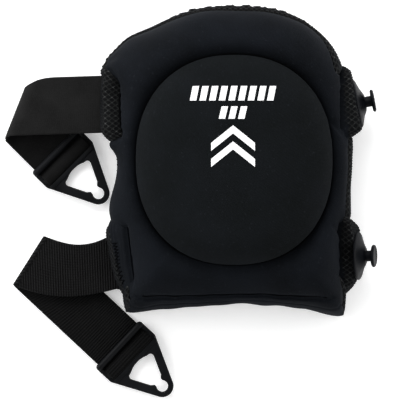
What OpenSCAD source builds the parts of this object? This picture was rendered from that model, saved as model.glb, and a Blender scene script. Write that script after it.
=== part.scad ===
// Strap-on gel knee pad, lying on its back. +Z is out of the pad's front, +Y is its thigh end, +X is the stud side.
// Z = 0 is the surface that it lies on, and the origin is at the middle of the knee opening.

/* [Pad] */
// Height of the arched shell over the knee opening, without the cap's puff
pad_h = 71; // [64:1:78]
// Half width of the sewn cap
cap_half_w = 68; // [60:1:68]
// Half length of the sewn cap
cap_half_l = 73; // [64:1:76]
// How far the gel puffs the cap out
cap_rise = 9; // [5:1:12]
// How far the foam roll puffs the rim out
rim_rise = 5; // [2:1:7]
// Height of the rim's lower edge at the middle of the thigh end
thigh_lift = 26; // [16:1:32]
// Height of the hem at the middle of the shin end
shin_lift = 36; // [26:1:42]

/* [Layers] */
// Thickness of the outer cover
cover_t = 1.4; // [1:0.1:2]
// Depth of the underside of the cap's foam and of the rim's foam roll
foam_depth = 9; // [7:0.5:11]
// Thickness of the backing foam
backing_t = 3.6; // [3:0.2:5]
// Thickness of the mesh liner
liner_t = 1.6; // [1:0.2:2.4]
// Space between sewn layers
layer_gap = 0.4; // [0.3:0.05:0.6]
// Thickness of the mesh tabs that hold the straps
strap_tab_t = 8; // [6:0.5:9]

/* [Straps] */
// Width of the webbing
web_w = 40; // [36:1:40]
// Thickness of the webbing
web_t = 1.6; // [1.2:0.1:1.8]
// Radius of the open loop in the upper strap
upper_loop_r = 7.6; // [7:0.1:8.2]
// Radius of the flat fold in the lower strap
lower_loop_r = 2.0; // [1.8:0.1:2.6]
// Length of webbing that returns under each strap from its clip
tail_len = 24; // [16:1:26]

/* [Clips] */
// Width over a clip's outer bar
clip_w = 45.5; // [45:0.1:47]
// Distance from the outer bar to the keyhole
keyhole_x = 41; // [40:0.5:44]
// Radius of the keyhole
keyhole_r = 4; // [3.9:0.05:4.2]
// Radius of the clip's rounded tip
tip_r = 7.9; // [7:0.1:9]
// Thickness of the clip's plate
clip_t = 3.2; // [2.6:0.1:3.4]

/* [Studs] */
// Radius of a stud's conical base
stud_base_r = 17; // [14:0.5:18]
// Radius of a stud's stem
stem_r = 3.75; // [3.5:0.05:3.8]
// Radius of a stud's head
head_r = 8; // [7:0.5:9]
// Height of the studs above the surface
stud_z = 20; // [18:0.5:22]

/* [Hidden] */
$fn = 48;

// ---- the pad's shape ----

// Middle of the cap, which the pad's outline is swept around
cap_mid = [4, 1];
// Outline of the rim where it meets the surface, from the right side round by the thigh end to the shin end
rim_outline = [
    [82, 1], [80, 24], [79, 48], [77, 66], [70, 81], [57, 93], [34, 102], [6, 104],
    [-24, 102], [-50, 93], [-68, 80], [-77, 64], [-79, 42], [-78, 20], [-76, 0], [-77, -24],
    [-76, -48], [-72, -72], [-69.4, -103.8], [-44, -101], [-12, -98], [20, -98], [52, -101],
    [79.1, -106.2], [80, -86], [78, -64], [79, -42], [81, -20]
];
// Directions that the pad's surface is worked out in, with its two hem corners among them
hem_corners = [235, 305];
turn = [
    for (a = [0:9:225]) a, hem_corners[0],
    for (a = [244:8.67:297]) a, hem_corners[1],
    for (a = [315:9:351]) a
];
// Roundness of the cap's outline, 2 being an ellipse
cap_power = 2.25;
// Half width over which the rim's lower edge is lifted at each end
thigh_lift_w = 70;
shin_lift_w = 76;
// Points lower than this lie on the surface
floor_snap = 0.35;
// Step for the surface's slope
slope_step = 0.02;

function polar(p) = let (d = p - cap_mid, a = atan2(d[1], d[0])) [a < -0.5 ? a + 360 : a, norm(d)];
rim_polar = [for (p = rim_outline) polar(p)];
rim_n = len(rim_polar);
function rim_at(i) = rim_polar[(i + rim_n) % rim_n] + [i < 0 ? -360 : i >= rim_n ? 360 : 0, 0];
function rim_slope(i) = let (a = rim_at(i - 1), b = rim_at(i + 1)) (b[1] - a[1]) / (b[0] - a[0]);
function is_hem_corner(i) = abs(rim_at(i)[0] - hem_corners[0]) < 0.5 || abs(rim_at(i)[0] - hem_corners[1]) < 0.5;
// A corner has its own slope on each side, towards its neighbour
function slope_from(i) =
    is_hem_corner(i) ? (rim_at(i + 1)[1] - rim_at(i)[1]) / (rim_at(i + 1)[0] - rim_at(i)[0]) : rim_slope(i);
function slope_to(i) =
    is_hem_corner(i) ? (rim_at(i)[1] - rim_at(i - 1)[1]) / (rim_at(i)[0] - rim_at(i - 1)[0]) : rim_slope(i);
function hermite(p0, m0, p1, m1, t) =
    (2 * t ^ 3 - 3 * t ^ 2 + 1) * p0 + (t ^ 3 - 2 * t ^ 2 + t) * m0
    + (3 * t ^ 2 - 2 * t ^ 3) * p1 + (t ^ 3 - t ^ 2) * m1;
function segment_of(a) = max([for (i = [0:rim_n - 1]) rim_at(i)[0] <= a ? i : -1]);
function rim_radius(angle) =
    let (
        a = angle < rim_at(0)[0] ? angle + 360 : angle,
        i = segment_of(a),
        p = rim_at(i),
        q = rim_at(i + 1),
        h = q[0] - p[0]
    )
    hermite(p[1], slope_from(i) * h, q[1], slope_to(i + 1) * h, (a - p[0]) / h);
function cap_radius(a) =
    pow(pow(abs(cos(a)) / cap_half_w, cap_power) + pow(abs(sin(a)) / cap_half_l, cap_power), -1 / cap_power);

// Height of the rim's lower edge in a direction: raised at the thigh and shin ends, on the surface at the sides
function lift_share(a) =
    let (x = rim_radius(a) * cos(a), w = sin(a) > 0 ? thigh_lift_w : shin_lift_w)
    pow(max(0, 1 - pow(x / w, 2)), 1.5);
function edge_z(a) = (sin(a) > 0 ? thigh_lift : shin_lift) * lift_share(a);
// The shin end is a sloping skirt, and everywhere else the rim rolls over into a wall
function skirt(a) = sin(a) > 0 ? 0 : lift_share(a);

// The dome under the cap: half width, half lengths towards the thigh and the shin, and how square it is
dome_half_w = 84;
dome_thigh_l = 112;
dome_shin_l = 104;
dome_square = 3.4;
dome_slump = 0.55;
function dome_z(r, a) =
    let (
        half_l = sin(a) > 0 ? dome_thigh_l : dome_shin_l,
        d = r * pow(pow(abs(cos(a)) / dome_half_w, cap_power) + pow(abs(sin(a)) / half_l, cap_power), 1 / cap_power)
    )
    pad_h * pow(max(0, 1 - pow(d, dome_square)), dome_slump);

// A point of the pad's shell: u runs from 0 in the middle, through 1 at the cap's seam, to 2 at the rim's lower edge
function shell(u, a) =
    let (
        cap = cap_radius(a),
        across = u <= 1 ? 0 : sin(90 * (u - 1)),
        r = u <= 1 ? cap * u : cap + (rim_radius(a) - cap) * across,
        wall = sqrt(1 - across ^ 2),
        slope = 1 - pow(across, 1.25),
        down = (1 - skirt(a)) * wall + skirt(a) * slope,
        low = edge_z(a),
        z = u <= 1 ? dome_z(r, a) : low + (dome_z(cap, a) - low) * down
    )
    [cap_mid[0] + r * cos(a), cap_mid[1] + r * sin(a), z];
function unit(v) = v / norm(v);
function shell_normal(u, a) =
    u < slope_step
        ? [0, 0, 1]
        : let (
            outward = u > 2 - slope_step ? shell(u, a) - shell(u - slope_step, a)
                : shell(u + slope_step, a) - shell(u, a),
            around = shell(u, a + 1) - shell(u, a - 1)
        )
        unit(cross(outward, around));
function snapped(p) = [p[0], p[1], p[2] < floor_snap ? 0 : p[2]];
function pad_point(u, a, out) = snapped(shell(u, a) + out * shell_normal(u, a));

// How far the cap's cover and the rim's cover stand out from the shell
seam_sink = 1;
function cap_puff(u) = cap_rise * sqrt(max(0, 1 - pow(u, 7))) - seam_sink;
function rim_puff(u) = rim_rise * sin(180 * pow(min(1, max(0, (u - 1))), 0.7)) - seam_sink * max(0, 1 - 8 * (u - 1));

// ---- solids from rows of points ----

function quad(a, b, c, d) = [[a, b, c], [a, c, d]];
function turned_over(faces) = [for (f = faces) [f[2], f[1], f[0]]];
// The side faces between two rings or lines of points that start at i and j
function band(i, j, n, closed) = [
    for (k = [0:n - (closed ? 1 : 2)])
        each quad(i + k, j + k, j + (k + 1) % n, i + (k + 1) % n)
];
function flat_list(rows) = [for (row = rows) each row];

// A closed ring between an outer and an inner set of rows
module ring_solid(outer, inner) {
    n = len(outer[0]);
    m = len(outer);
    faces = [
        for (i = [0:m - 2]) each band((i + 1) * n, i * n, n, true),
        for (i = [0:m - 2]) each turned_over(band((m + i + 1) * n, (m + i) * n, n, true)),
        each band(0, m * n, n, true),
        each band((2 * m - 1) * n, (m - 1) * n, n, true)
    ];
    polyhedron(concat(flat_list(outer), flat_list(inner)), faces);
}

// A closed dish between two sets of rows, each closed in the middle by one point
module dish_solid(top_mid, top, bottom_mid, bottom) {
    n = len(top[0]);
    m = len(top);
    first = 2;
    under = first + m * n;
    faces = [
        for (k = [0:n - 1]) [0, first + (k + 1) % n, first + k],
        for (k = [0:n - 1]) [1, under + k, under + (k + 1) % n],
        for (i = [0:m - 2]) each band(first + (i + 1) * n, first + i * n, n, true),
        for (i = [0:m - 2]) each turned_over(band(under + (i + 1) * n, under + i * n, n, true)),
        each band(under + (m - 1) * n, first + (m - 1) * n, n, true)
    ];
    polyhedron(concat([top_mid, bottom_mid], flat_list(top), flat_list(bottom)), faces);
}

// A closed slab between two open grids of the same size
module patch_solid(outer, inner) {
    n = len(outer[0]);
    m = len(outer);
    under = m * n;
    faces = [
        for (i = [0:m - 2]) each band((i + 1) * n, i * n, n, false),
        for (i = [0:m - 2]) each turned_over(band(under + (i + 1) * n, under + i * n, n, false)),
        each band(0, under, n, false),
        each band(under + (m - 1) * n, under - n, n, false),
        for (i = [0:m - 2]) each quad((i + 1) * n, under + (i + 1) * n, under + i * n, i * n),
        for (i = [0:m - 2])
            each quad(i * n + n - 1, under + i * n + n - 1, under + (i + 1) * n + n - 1, (i + 1) * n + n - 1)
    ];
    polyhedron(concat(flat_list(outer), flat_list(inner)), faces);
}

function pad_row(u, out) = [for (a = turn) pad_point(u, a, out)];

// A layer of the pad from its middle out, between two depths that are functions of u
module pad_dish(us, over, beneath) {
    dish_solid(
        pad_point(0, 0, over(0)), [for (u = us) pad_row(u, over(u))],
        pad_point(0, 0, beneath(0)), [for (u = us) pad_row(u, beneath(u))]
    );
}
module pad_ring(us, over, beneath) {
    ring_solid([for (u = us) pad_row(u, over(u))], [for (u = us) pad_row(u, beneath(u))]);
}

// ---- the pad's layers ----

// Rows of each layer. Layers that touch share their rows, so that their facets run side by side
gel_us = [0.3, 0.6, 0.8, 0.92];
cap_us = concat(gel_us, [0.985]);
roll_us = [1.1, 1.22, 1.38, 1.55, 1.72, 1.86, 2];
rim_us = concat([1.02], roll_us);
foam_us = [0.3, 0.6, 0.8, 0.9];
full_us = concat(foam_us, roll_us);
edge_us = [1.72, 1.86, 2];

module cap_cover() {
    color("#15171c")
        pad_dish(cap_us, function (u) cap_puff(u), function (u) cap_puff(u) - cover_t);
}

module gel_insert() {
    color("#4d7f9c")
        pad_dish(gel_us, function (u) cap_puff(u) - cover_t - layer_gap, function (u) -layer_gap - seam_sink);
}

module cap_foam() {
    top = -2 * layer_gap - seam_sink;
    color("#5b5d60")
        pad_dish(foam_us, function (u) top, function (u) -foam_depth);
}

module cap_seam_thread() {
    thread_r = 0.35;
    sink = 1.65;
    half = len(turn) / 2;
    color("#0c0d10")
        for (first = [0, half])
            seam_thread([for (k = [0:half - 1]) turn[first + k]], -sink, thread_r, 6);
}

// A stretch of thread along the cap's seam, over the given directions
module seam_thread(angles, out, r, sides) {
    n = len(angles);
    mids = [for (a = angles) pad_point(1, a, out)];
    normals = [for (a = angles) shell_normal(1, a)];
    rings = [
        for (k = [0:n - 1])
            let (
                ahead = unit(mids[min(k + 1, n - 1)] - mids[max(k - 1, 0)]),
                side = unit(cross(normals[k], ahead)),
                up = cross(ahead, side)
            )
            [for (s = [0:sides - 1]) mids[k] + r * (cos(360 * s / sides) * side + sin(360 * s / sides) * up)]
    ];
    faces = concat(
        [for (k = [0:n - 2]) each band(k * sides, (k + 1) * sides, sides, true)],
        [[for (s = [0:sides - 1]) s]],
        [[for (s = [sides - 1:-1:0]) (n - 1) * sides + s]]
    );
    polyhedron(flat_list(rings), faces);
}

module rim_cover() {
    color("#0f1116")
        pad_ring(rim_us, function (u) rim_puff(u), function (u) rim_puff(u) - cover_t);
}

module rim_foam() {
    color("#5b5d60")
        pad_ring(
            roll_us,
            function (u) rim_puff(u) - cover_t - layer_gap,
            function (u) -foam_depth
        );
}

module backing_foam() {
    top = -foam_depth - layer_gap;
    color("#3f4347")
        pad_dish(full_us, function (u) top, function (u) top - backing_t);
}

module mesh_liner() {
    top = -foam_depth - 2 * layer_gap - backing_t;
    color("#26282b")
        pad_dish(full_us, function (u) top, function (u) top - liner_t);
}

// Two edge strips, each sewn over the outside of the rim: the binding round the thigh end, the hem along the shin end
module edge_strip(angles, t) {
    function out(u) = rim_puff(u) + layer_gap;
    patch_solid(
        [for (u = edge_us) [for (a = angles) pad_point(u, a, out(u) + t)]],
        [for (u = edge_us) [for (a = angles) pad_point(u, a, out(u))]]
    );
}

module top_binding() {
    color("#202226")
        edge_strip([for (a = turn) if (a >= 45 && a <= 135) a], 1.8);
}

module bottom_hem() {
    // The hem stops this many degrees short of each corner
    corner_free = 4;
    color("#0c0e12")
        edge_strip(
            [
                hem_corners[0] + corner_free,
                for (a = turn) if (a > hem_corners[0] && a < hem_corners[1]) a,
                hem_corners[1] - corner_free
            ],
            1.8
        );
}

// ---- the print on the cap, as thin ink patches ----

ink_lift = 0.3;
ink_t = 0.3;
// Keeps the two ends of an ink strip from closing to a point
ink_inset = [0.1, 0];
function cap_spot(x, y, out) =
    let (d = [x, y] - cap_mid, a = atan2(d[1], d[0]), u = norm(d) / cap_radius(a))
    pad_point(u, a, cap_puff(u) + out);

// A strip of ink between two lines that run from left to right
module ink(low, high, steps) {
    function at(line, k) = line[0] + (line[1] - line[0]) * k / steps;
    rows = [high, low];
    patch_solid(
        [for (line = rows) [for (k = [steps:-1:0]) let (p = at(line, k)) cap_spot(p[0], p[1], ink_lift + ink_t)]],
        [for (line = rows) [for (k = [steps:-1:0]) let (p = at(line, k)) cap_spot(p[0], p[1], ink_lift)]]
    );
}

module printed_mark() {
    mark_x = 3;
    // Rows of slanting bars: how many, where they start and how tall they are
    bar_rows = [[9, 41.5, 10], [3, 29, 8.5]];
    bar_w = 4.4;
    bar_pitch = 6.6;
    bar_slant = 2;
    chevron_low = [-4, 7];
    chevron_half_w = 15;
    chevron_rise = 12;
    stroke = [0, 5.5];
    color("#f2f2f2") {
        for (row = bar_rows, k = [0:row[0] - 1]) {
            left = [mark_x + (k - (row[0] - 1) / 2) * bar_pitch - (bar_w + bar_slant) / 2, row[1]];
            right = left + [bar_w, 0];
            up = [bar_slant, row[2]];
            ink([left, right], [left + up, right + up], 1);
        }
        for (y = chevron_low, side = [-1, 1]) {
            tip = [mark_x, y + chevron_rise];
            foot = [mark_x + side * chevron_half_w, y];
            left = (side < 0 ? foot : tip) + ink_inset;
            right = (side < 0 ? tip : foot) - ink_inset;
            ink([left, right], [left + stroke, right + stroke], 3);
        }
    }
}

// ---- the mesh tabs ----

tab_us = [1.2, 1.28, 1.4, 1.55, 1.72, 1.88, 1.98];
// Space between the tabs and the rim's cover that they are sewn to
tab_gap = 1;
// Rises from 0 at both ends of its range to 1 over the middle
function pillow(t) = sqrt(max(0, 1 - pow(abs(2 * t - 1), 4)));
tab_edge_t = 1.4;
function tab_out(i, m, j, n, t) = tab_edge_t + (t - tab_edge_t) * (0.25 + 0.75 * pillow(i / m)) * pillow(j / n);

// A tab between two directions, given as [from, to]. A stud's seat cuts its outer face flat
module tab_body(span, t, seat = undef, seat_dir = [0, 0, 0]) {
    n = 8;
    m = len(tab_us) - 1;
    function lift(u) = rim_puff(u) + tab_gap;
    function angle_at(j) = span[0] + (span[1] - span[0]) * j / n;
    function held_back(p) = is_undef(seat) ? p : p - max(0, (p - seat) * seat_dir) * seat_dir;
    patch_solid(
        [for (i = [0:m]) [for (j = [0:n])
            snapped(held_back(pad_point(tab_us[i], angle_at(j), lift(tab_us[i]) + tab_out(i, m, j, n, t))))]],
        [for (i = [0:m]) [for (j = [0:n]) pad_point(tab_us[i], angle_at(j), lift(tab_us[i]))]]
    );
}

// Frames of the two studs: where the seat is, and the turn and the rise of the axis from +X
upper_stud_at = [89.4, 40.4, stud_z];
upper_stud_turn = [11, 4];
lower_stud_at = [90, -65.6, stud_z];
lower_stud_turn = [0, 14];
function heading(turn) = [cos(turn[0]) * cos(turn[1]), sin(turn[0]) * cos(turn[1]), sin(turn[1])];

// ---- the straps' courses ----

// Heights of the middle of the webbing: the tail, the run over it, and each strap's leg on top
tail_z = 0.2 + web_t / 2;
run_z = tail_z + web_t + 0.3;
upper_leg_z = run_z + 2 * upper_loop_r;
lower_leg_z = run_z + 2 * lower_loop_r;
// Gap in the webbing at a line that it bends on
bend_gap = 1.6;

// Where each strap leaves its tab, the way that it leaves, its clip's outer bar, and the way that the clip points
upper_root = [-88.6, 40.2];
upper_leg_dir = unit([-1, -0.03]);
upper_bar = [-120, 7];
upper_run_dir = unit([0.71, -0.704]);
lower_fold_near = [-141.5, -68.3];
lower_leg_dir = unit([-0.93, 0.365]);
lower_bar = [-76, -129];
lower_run_dir = unit([0.73, -0.683]);
// Ends of the lower strap's root at its tab
lower_root_top = [-85.6, -53];
lower_root_low = [-78.2, -89];
lower_root_z = 9;

function flat_cross(a, b) = a[0] * b[1] - a[1] * b[0];
function turned(v) = [-v[1], v[0]];

// A fold: [along the fold line, out of it, where the bend starts, tangent of the strap's slant, start of the middle]
function fold_of(pa, a, pb, b, r) =
    let (
        along = unit(a + b),
        m = turned(along),
        out = a * m > 0 ? m : -m,
        slant = (a * along) / (a * out),
        n0 = ((pb * along - pa * along) / slant + pa * out + pb * out - PI * r) / 2
    )
    [along, out, n0, slant, pa * along + (n0 - pa * out) * slant];
upper_fold = fold_of(upper_root, upper_leg_dir, upper_bar, upper_run_dir, upper_loop_r);
lower_fold = fold_of(lower_fold_near, lower_leg_dir, lower_bar, lower_run_dir, lower_loop_r);

// The strap's edge beside its middle, measured along the fold line
function edge_reach(fold) = web_w / 2 * sqrt(1 + fold[3] ^ 2);
// A point on the fold: s is the length of bend from its start, side is -1 or 1, off is outward from the webbing
function fold_point(fold, r, leg_z, s, side, off) =
    let (
        bend = 180 * s / (PI * r),
        n = fold[2] + (r + off) * sin(bend),
        lam = fold[4] + s * fold[3] + side * edge_reach(fold),
        p = fold[1] * n + fold[0] * lam
    )
    [p[0], p[1], leg_z - r + (r + off) * cos(bend)];
function fold_start(fold, side) = fold[1] * fold[2] + fold[0] * (fold[4] + side * edge_reach(fold));
function fold_end(fold, r, side) =
    fold[1] * fold[2] + fold[0] * (fold[4] + PI * r * fold[3] + side * edge_reach(fold));

// Webbing between two lists of edge points, each a list of [under, over] pairs
module ribbon(left, right) {
    n = len(left);
    rings = [for (k = [0:n - 1]) [left[k][0], right[k][0], right[k][1], left[k][1]]];
    polyhedron(
        flat_list(rings),
        concat(
            [for (k = [0:n - 2]) each band(k * 4, (k + 1) * 4, 4, true)],
            [[0, 1, 2, 3]],
            [[for (s = [3:-1:0]) (n - 1) * 4 + s]]
        )
    );
}

module strap_loop(fold, r, leg_z) {
    steps = 12;
    function edge(side) = [
        for (k = [0:steps])
            let (s = PI * r * k / steps)
            [fold_point(fold, r, leg_z, s, side, -web_t / 2), fold_point(fold, r, leg_z, s, side, web_t / 2)]
    ];
    ribbon(edge(1), edge(-1));
}

// A flat stretch of webbing over an outline, with its middle at height z
module flat_web(outline, z) {
    translate([0, 0, z - web_t / 2])
        linear_extrude(web_t)
            polygon(outline);
}

// A strap's end beside its clip, at a distance before the outer bar
function run_end(bar, dir, back, side) = bar - back * dir + side * web_w / 2 * turned(dir);
// Where the webbing bends when the clip is tipped up
flex_back = 6;

module strap_run(fold, r, bar, dir) {
    back = flex_back + bend_gap;
    // The side of the run that goes on from the fold's side 1
    side = turned(dir) * fold[0] > 0 ? 1 : -1;
    flat_web(
        [fold_end(fold, r, 1), fold_end(fold, r, -1), run_end(bar, dir, back, -side), run_end(bar, dir, back, side)],
        run_z
    );
}

module in_clip_frame(bar, dir) {
    translate([bar[0], bar[1], 0])
        rotate([0, 0, atan2(dir[1], dir[0])])
            children();
}

// ---- a clip and the webbing round its middle bar, in the clip's own frame: +X to its tip, outer bar over x = 0 ----

bar_r = 2.4;
bar_z = run_z + web_t / 2 + 0.3 + bar_r;
plate_z = 2.2;
middle_x = [7.4, 11];
middle_z = [3.2, 6.2];
slot_end_x = 15.4;
slot_half_w = web_w / 2 + 0.5;
lip_x = [15, 16.8];
lip_h = 1;
shoulder_x = 12;
shoulder_r = 3;
cheek_l = 4.6;
cheek_top = 5.9;
cheek_back = 0.7;

// The webbing's middle line round the middle bar, from the run over it and back to the tail
wrap_line = [
    [-flex_back + bend_gap, run_z], [3, run_z], [6.5, 6.9], [7.6, 7.35], [10.8, 7.35],
    [12.5, 6.6], [13.1, 5.2], [13.1, 2.8], [12.3, 1.4], [10.6, tail_z], [-flex_back + bend_gap, tail_z]
];
function miter(line, k) =
    let (
        n = len(line),
        d0 = unit(line[max(k, 1)] - line[max(k, 1) - 1]),
        d1 = unit(line[min(k + 1, n - 1)] - line[min(k, n - 2)]),
        m = unit(turned(d0) + turned(d1))
    )
    m / (m * turned(d0));

module strap_wrap(bar, dir) {
    n = len(wrap_line);
    over = [for (k = [0:n - 1]) wrap_line[k] + web_t / 2 * miter(wrap_line, k)];
    under = [for (k = [n - 1:-1:0]) wrap_line[k] - web_t / 2 * miter(wrap_line, k)];
    in_clip_frame(bar, dir)
        rotate([90, 0, 0])
            linear_extrude(web_w, center = true)
                polygon(concat(over, under));
}

module strap_tail(bar, dir) {
    in_clip_frame(bar, dir)
        translate([-flex_back - bend_gap - tail_len, -web_w / 2, tail_z - web_t / 2])
            cube([tail_len, web_w, web_t]);
}

// The tapered outline between two pairs of circles, each given as [x, y, r], mirrored about the X axis
module taper(a, b) {
    d = [b[0] - a[0], b[1] - a[1]];
    swing = acos((a[2] - b[2]) / norm(d));
    dir = atan2(d[1], d[0]) + swing;
    // A little less than the full radius, so that the sides cross the circles instead of just touching them
    touch = 0.99 * [cos(dir), sin(dir)];
    upper = [[a[0], a[1]] + a[2] * touch, [b[0], b[1]] + b[2] * touch];
    polygon(concat(upper, [for (k = [1:-1:0]) [upper[k][0], -upper[k][1]]]));
    for (c = [a, b], side = [-1, 1])
        translate([c[0], side * c[1]])
            circle(c[2]);
}

module clip_plate() {
    translate([0, 0, plate_z])
        linear_extrude(clip_t)
            union() {
                taper([shoulder_x, clip_w / 2 - shoulder_r, shoulder_r], [keyhole_x, 0, tip_r]);
                translate([0, -clip_w / 2])
                    square([shoulder_x, clip_w]);
            }
    translate([lip_x[0], -slot_half_w, plate_z])
        cube([lip_x[1] - lip_x[0], 2 * slot_half_w, clip_t + lip_h]);
}

// The triangular eye with the keyhole in its narrow end
module clip_eye() {
    eye_r = 2.5;
    eye_x = 21.5;
    eye_half_w = 11.5;
    throat_half_w = 3.4;
    throat_x = keyhole_x - 2;
    polygon([
        [eye_x - eye_r, -eye_half_w + eye_r], [eye_x - eye_r, eye_half_w - eye_r], [eye_x, eye_half_w],
        [throat_x, throat_half_w], [keyhole_x, throat_half_w],
        [keyhole_x, -throat_half_w], [throat_x, -throat_half_w], [eye_x, -eye_half_w]
    ]);
    for (side = [-1, 1])
        translate([eye_x, side * (eye_half_w - eye_r)])
            circle(eye_r);
    translate([keyhole_x, 0])
        circle(keyhole_r);
}

module clip(bar, dir) {
    cut_h = 12;
    cheek_t = clip_w / 2 - slot_half_w;
    in_clip_frame(bar, dir) {
        difference() {
            clip_plate();
            translate([-1, -slot_half_w, 0])
                cube([slot_end_x + 1, 2 * slot_half_w, cut_h]);
            linear_extrude(cut_h)
                clip_eye();
        }
        translate([middle_x[0], -slot_half_w - 1, middle_z[0]])
            cube([middle_x[1] - middle_x[0], 2 * slot_half_w + 2, middle_z[1] - middle_z[0]]);
        translate([0, clip_w / 2, bar_z])
            rotate([90, 0, 0])
                cylinder(h = clip_w, r = bar_r);
        for (y = [-clip_w / 2, slot_half_w])
            translate([-cheek_back, y, plate_z])
                cube([cheek_back + cheek_l, cheek_t, cheek_top - plate_z]);
    }
}

// ---- a stud, in its own frame: +Z out of the tab's seat ----

rivet_r = 1.5;
rivet_clear = 0.1;
rivet_head_r = 3.4;
rivet_head_h = 0.9;
rivet_bite = 5;
plate_depth = 4;
back_plate_t = 1.6;
back_plate_r = 9.5;
base_h = 6.6;
stem_h = 4;
head_h = 2.6;

module in_stud_frame(at, turn) {
    translate(at)
        rotate([0, 90 - turn[1], turn[0]])
            children();
}

module stud_base(at, turn) {
    in_stud_frame(at, turn)
        rotate_extrude()
            polygon([
                [rivet_r + rivet_clear, 0.1], [stud_base_r - 0.6, 0.1], [stud_base_r, 0.7], [stud_base_r, 1.3],
                [stud_base_r - 0.8, 1.9], [head_r + 1.5, base_h - 2.3], [stem_r + 2.2, base_h - 0.4],
                [stem_r + 1.4, base_h], [rivet_r + rivet_clear, base_h]
            ]);
}

module stud_button(at, turn) {
    foot = base_h + 0.1;
    neck = foot + stem_h;
    in_stud_frame(at, turn)
        difference() {
            union() {
                translate([0, 0, foot])
                    cylinder(h = stem_h + 0.5, r = stem_r);
                translate([0, 0, neck])
                    rotate_extrude()
                        polygon([
                            [0, 0], [head_r - 0.6, 0], [head_r, 0.7], [head_r, head_h - 1.1],
                            [head_r - 0.5, head_h - 0.5], [head_r - 1.4, head_h - 0.1], [0, head_h]
                        ]);
            }
            translate([0, 0, foot - 1])
                cylinder(h = rivet_bite + 1.2, r = rivet_r + rivet_clear);
        }
}

module stud_back_plate(at, turn) {
    in_stud_frame(at, turn)
        translate([0, 0, -plate_depth])
            difference() {
                cylinder(h = back_plate_t, r = back_plate_r);
                translate([0, 0, -1])
                    cylinder(h = back_plate_t + 2, r = rivet_r + rivet_clear);
            }
}

module stud_rivet(at, turn) {
    in_stud_frame(at, turn)
        union() {
            translate([0, 0, -plate_depth - rivet_clear - rivet_head_h])
                cylinder(h = rivet_head_h, r = rivet_head_r);
            translate([0, 0, -plate_depth - 2 * rivet_clear])
                cylinder(h = plate_depth + 2 * rivet_clear + base_h + rivet_bite, r = rivet_r);
        }
}

// The room that a stud's inner pieces take in its tab
module stud_pocket(at, turn) {
    clear = 0.25;
    in_stud_frame(at, turn) {
        translate([0, 0, -plate_depth - clear])
            cylinder(h = back_plate_t + 2 * clear, r = back_plate_r + clear);
        translate([0, 0, -plate_depth - rivet_head_h - clear])
            cylinder(h = rivet_head_h + 2 * clear, r = rivet_head_r + clear);
        translate([0, 0, -plate_depth])
            cylinder(h = 2 * plate_depth, r = rivet_r + clear);
    }
}

// ---- the named pieces ----

// Directions that each tab spans, and the thickness of the tabs under the studs
upper_left_span = [139, 169];
lower_left_span = [209, 231];
upper_right_span = [12, 43];
lower_right_span = [309.5, 330];
upper_stud_tab_t = 14;
lower_stud_tab_t = 13;
// Space round the webbing that is sewn into a tab
sewn_gap = 0.25;

module upper_left_tab() {
    color("#1b1d20")
        difference() {
            tab_body(upper_left_span, strap_tab_t);
            upper_anchor(sewn_gap);
        }
}

module lower_left_tab() {
    color("#1b1d20")
        difference() {
            tab_body(lower_left_span, strap_tab_t);
            lower_anchor(sewn_gap);
        }
}

module upper_right_tab() {
    color("#1b1d20")
        difference() {
            tab_body(upper_right_span, upper_stud_tab_t, upper_stud_at, heading(upper_stud_turn));
            stud_pocket(upper_stud_at, upper_stud_turn);
        }
}

module lower_right_tab() {
    color("#1b1d20")
        difference() {
            tab_body(lower_right_span, lower_stud_tab_t, lower_stud_at, heading(lower_stud_turn));
            stud_pocket(lower_stud_at, lower_stud_turn);
        }
}

// The end of the upper strap that is sewn into its tab
anchor_depth = 5;
root_reach = 0.3;
module upper_anchor(clear) {
    p = upper_root + root_reach * upper_leg_dir;
    side = turned(upper_leg_dir) * (web_w / 2 + clear);
    back = p - upper_leg_dir * (anchor_depth + clear);
    translate([0, 0, upper_leg_z - web_t / 2 - clear])
        linear_extrude(web_t + 2 * clear)
            polygon([p + side, back + side, back - side, p - side]);
}

// The sewn-in end and the flat start of the lower strap, up to the line that the strap lifts on
module lower_anchor(clear) {
    edge = unit(lower_root_top - lower_root_low);
    inward = [edge[1], -edge[0]];
    top = lower_root_top + clear * edge;
    low = lower_root_low - clear * edge;
    back = inward * (anchor_depth + clear);
    translate([0, 0, lower_root_z - web_t / 2 - clear])
        linear_extrude(web_t + 2 * clear)
            polygon([
                top + back,
                for (k = [0:3]) lower_edge(top, lower_top_end, (bend_ts[0] - bend_share) * k / 3),
                lower_edge(low, lower_low_end, bend_ts[1] - bend_share / 2),
                low,
                low + back
            ]);
}

module upper_strap_root() {
    color("#232323")
        upper_anchor(0);
}

module upper_strap_leg() {
    start = upper_root + (root_reach + bend_gap) * upper_leg_dir;
    side = turned(upper_leg_dir) * web_w / 2;
    // The side of the fold that the strap's side 1 goes on to
    fold_side = side * upper_fold[0] > 0 ? 1 : -1;
    color("#232323")
        flat_web(
            [start + side, start - side, fold_start(upper_fold, -fold_side), fold_start(upper_fold, fold_side)],
            upper_leg_z
        );
}

module upper_strap_loop() {
    color("#232323")
        strap_loop(upper_fold, upper_loop_r, upper_leg_z);
}

module upper_strap_run() {
    color("#232323")
        strap_run(upper_fold, upper_loop_r, upper_bar, upper_run_dir);
}

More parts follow.
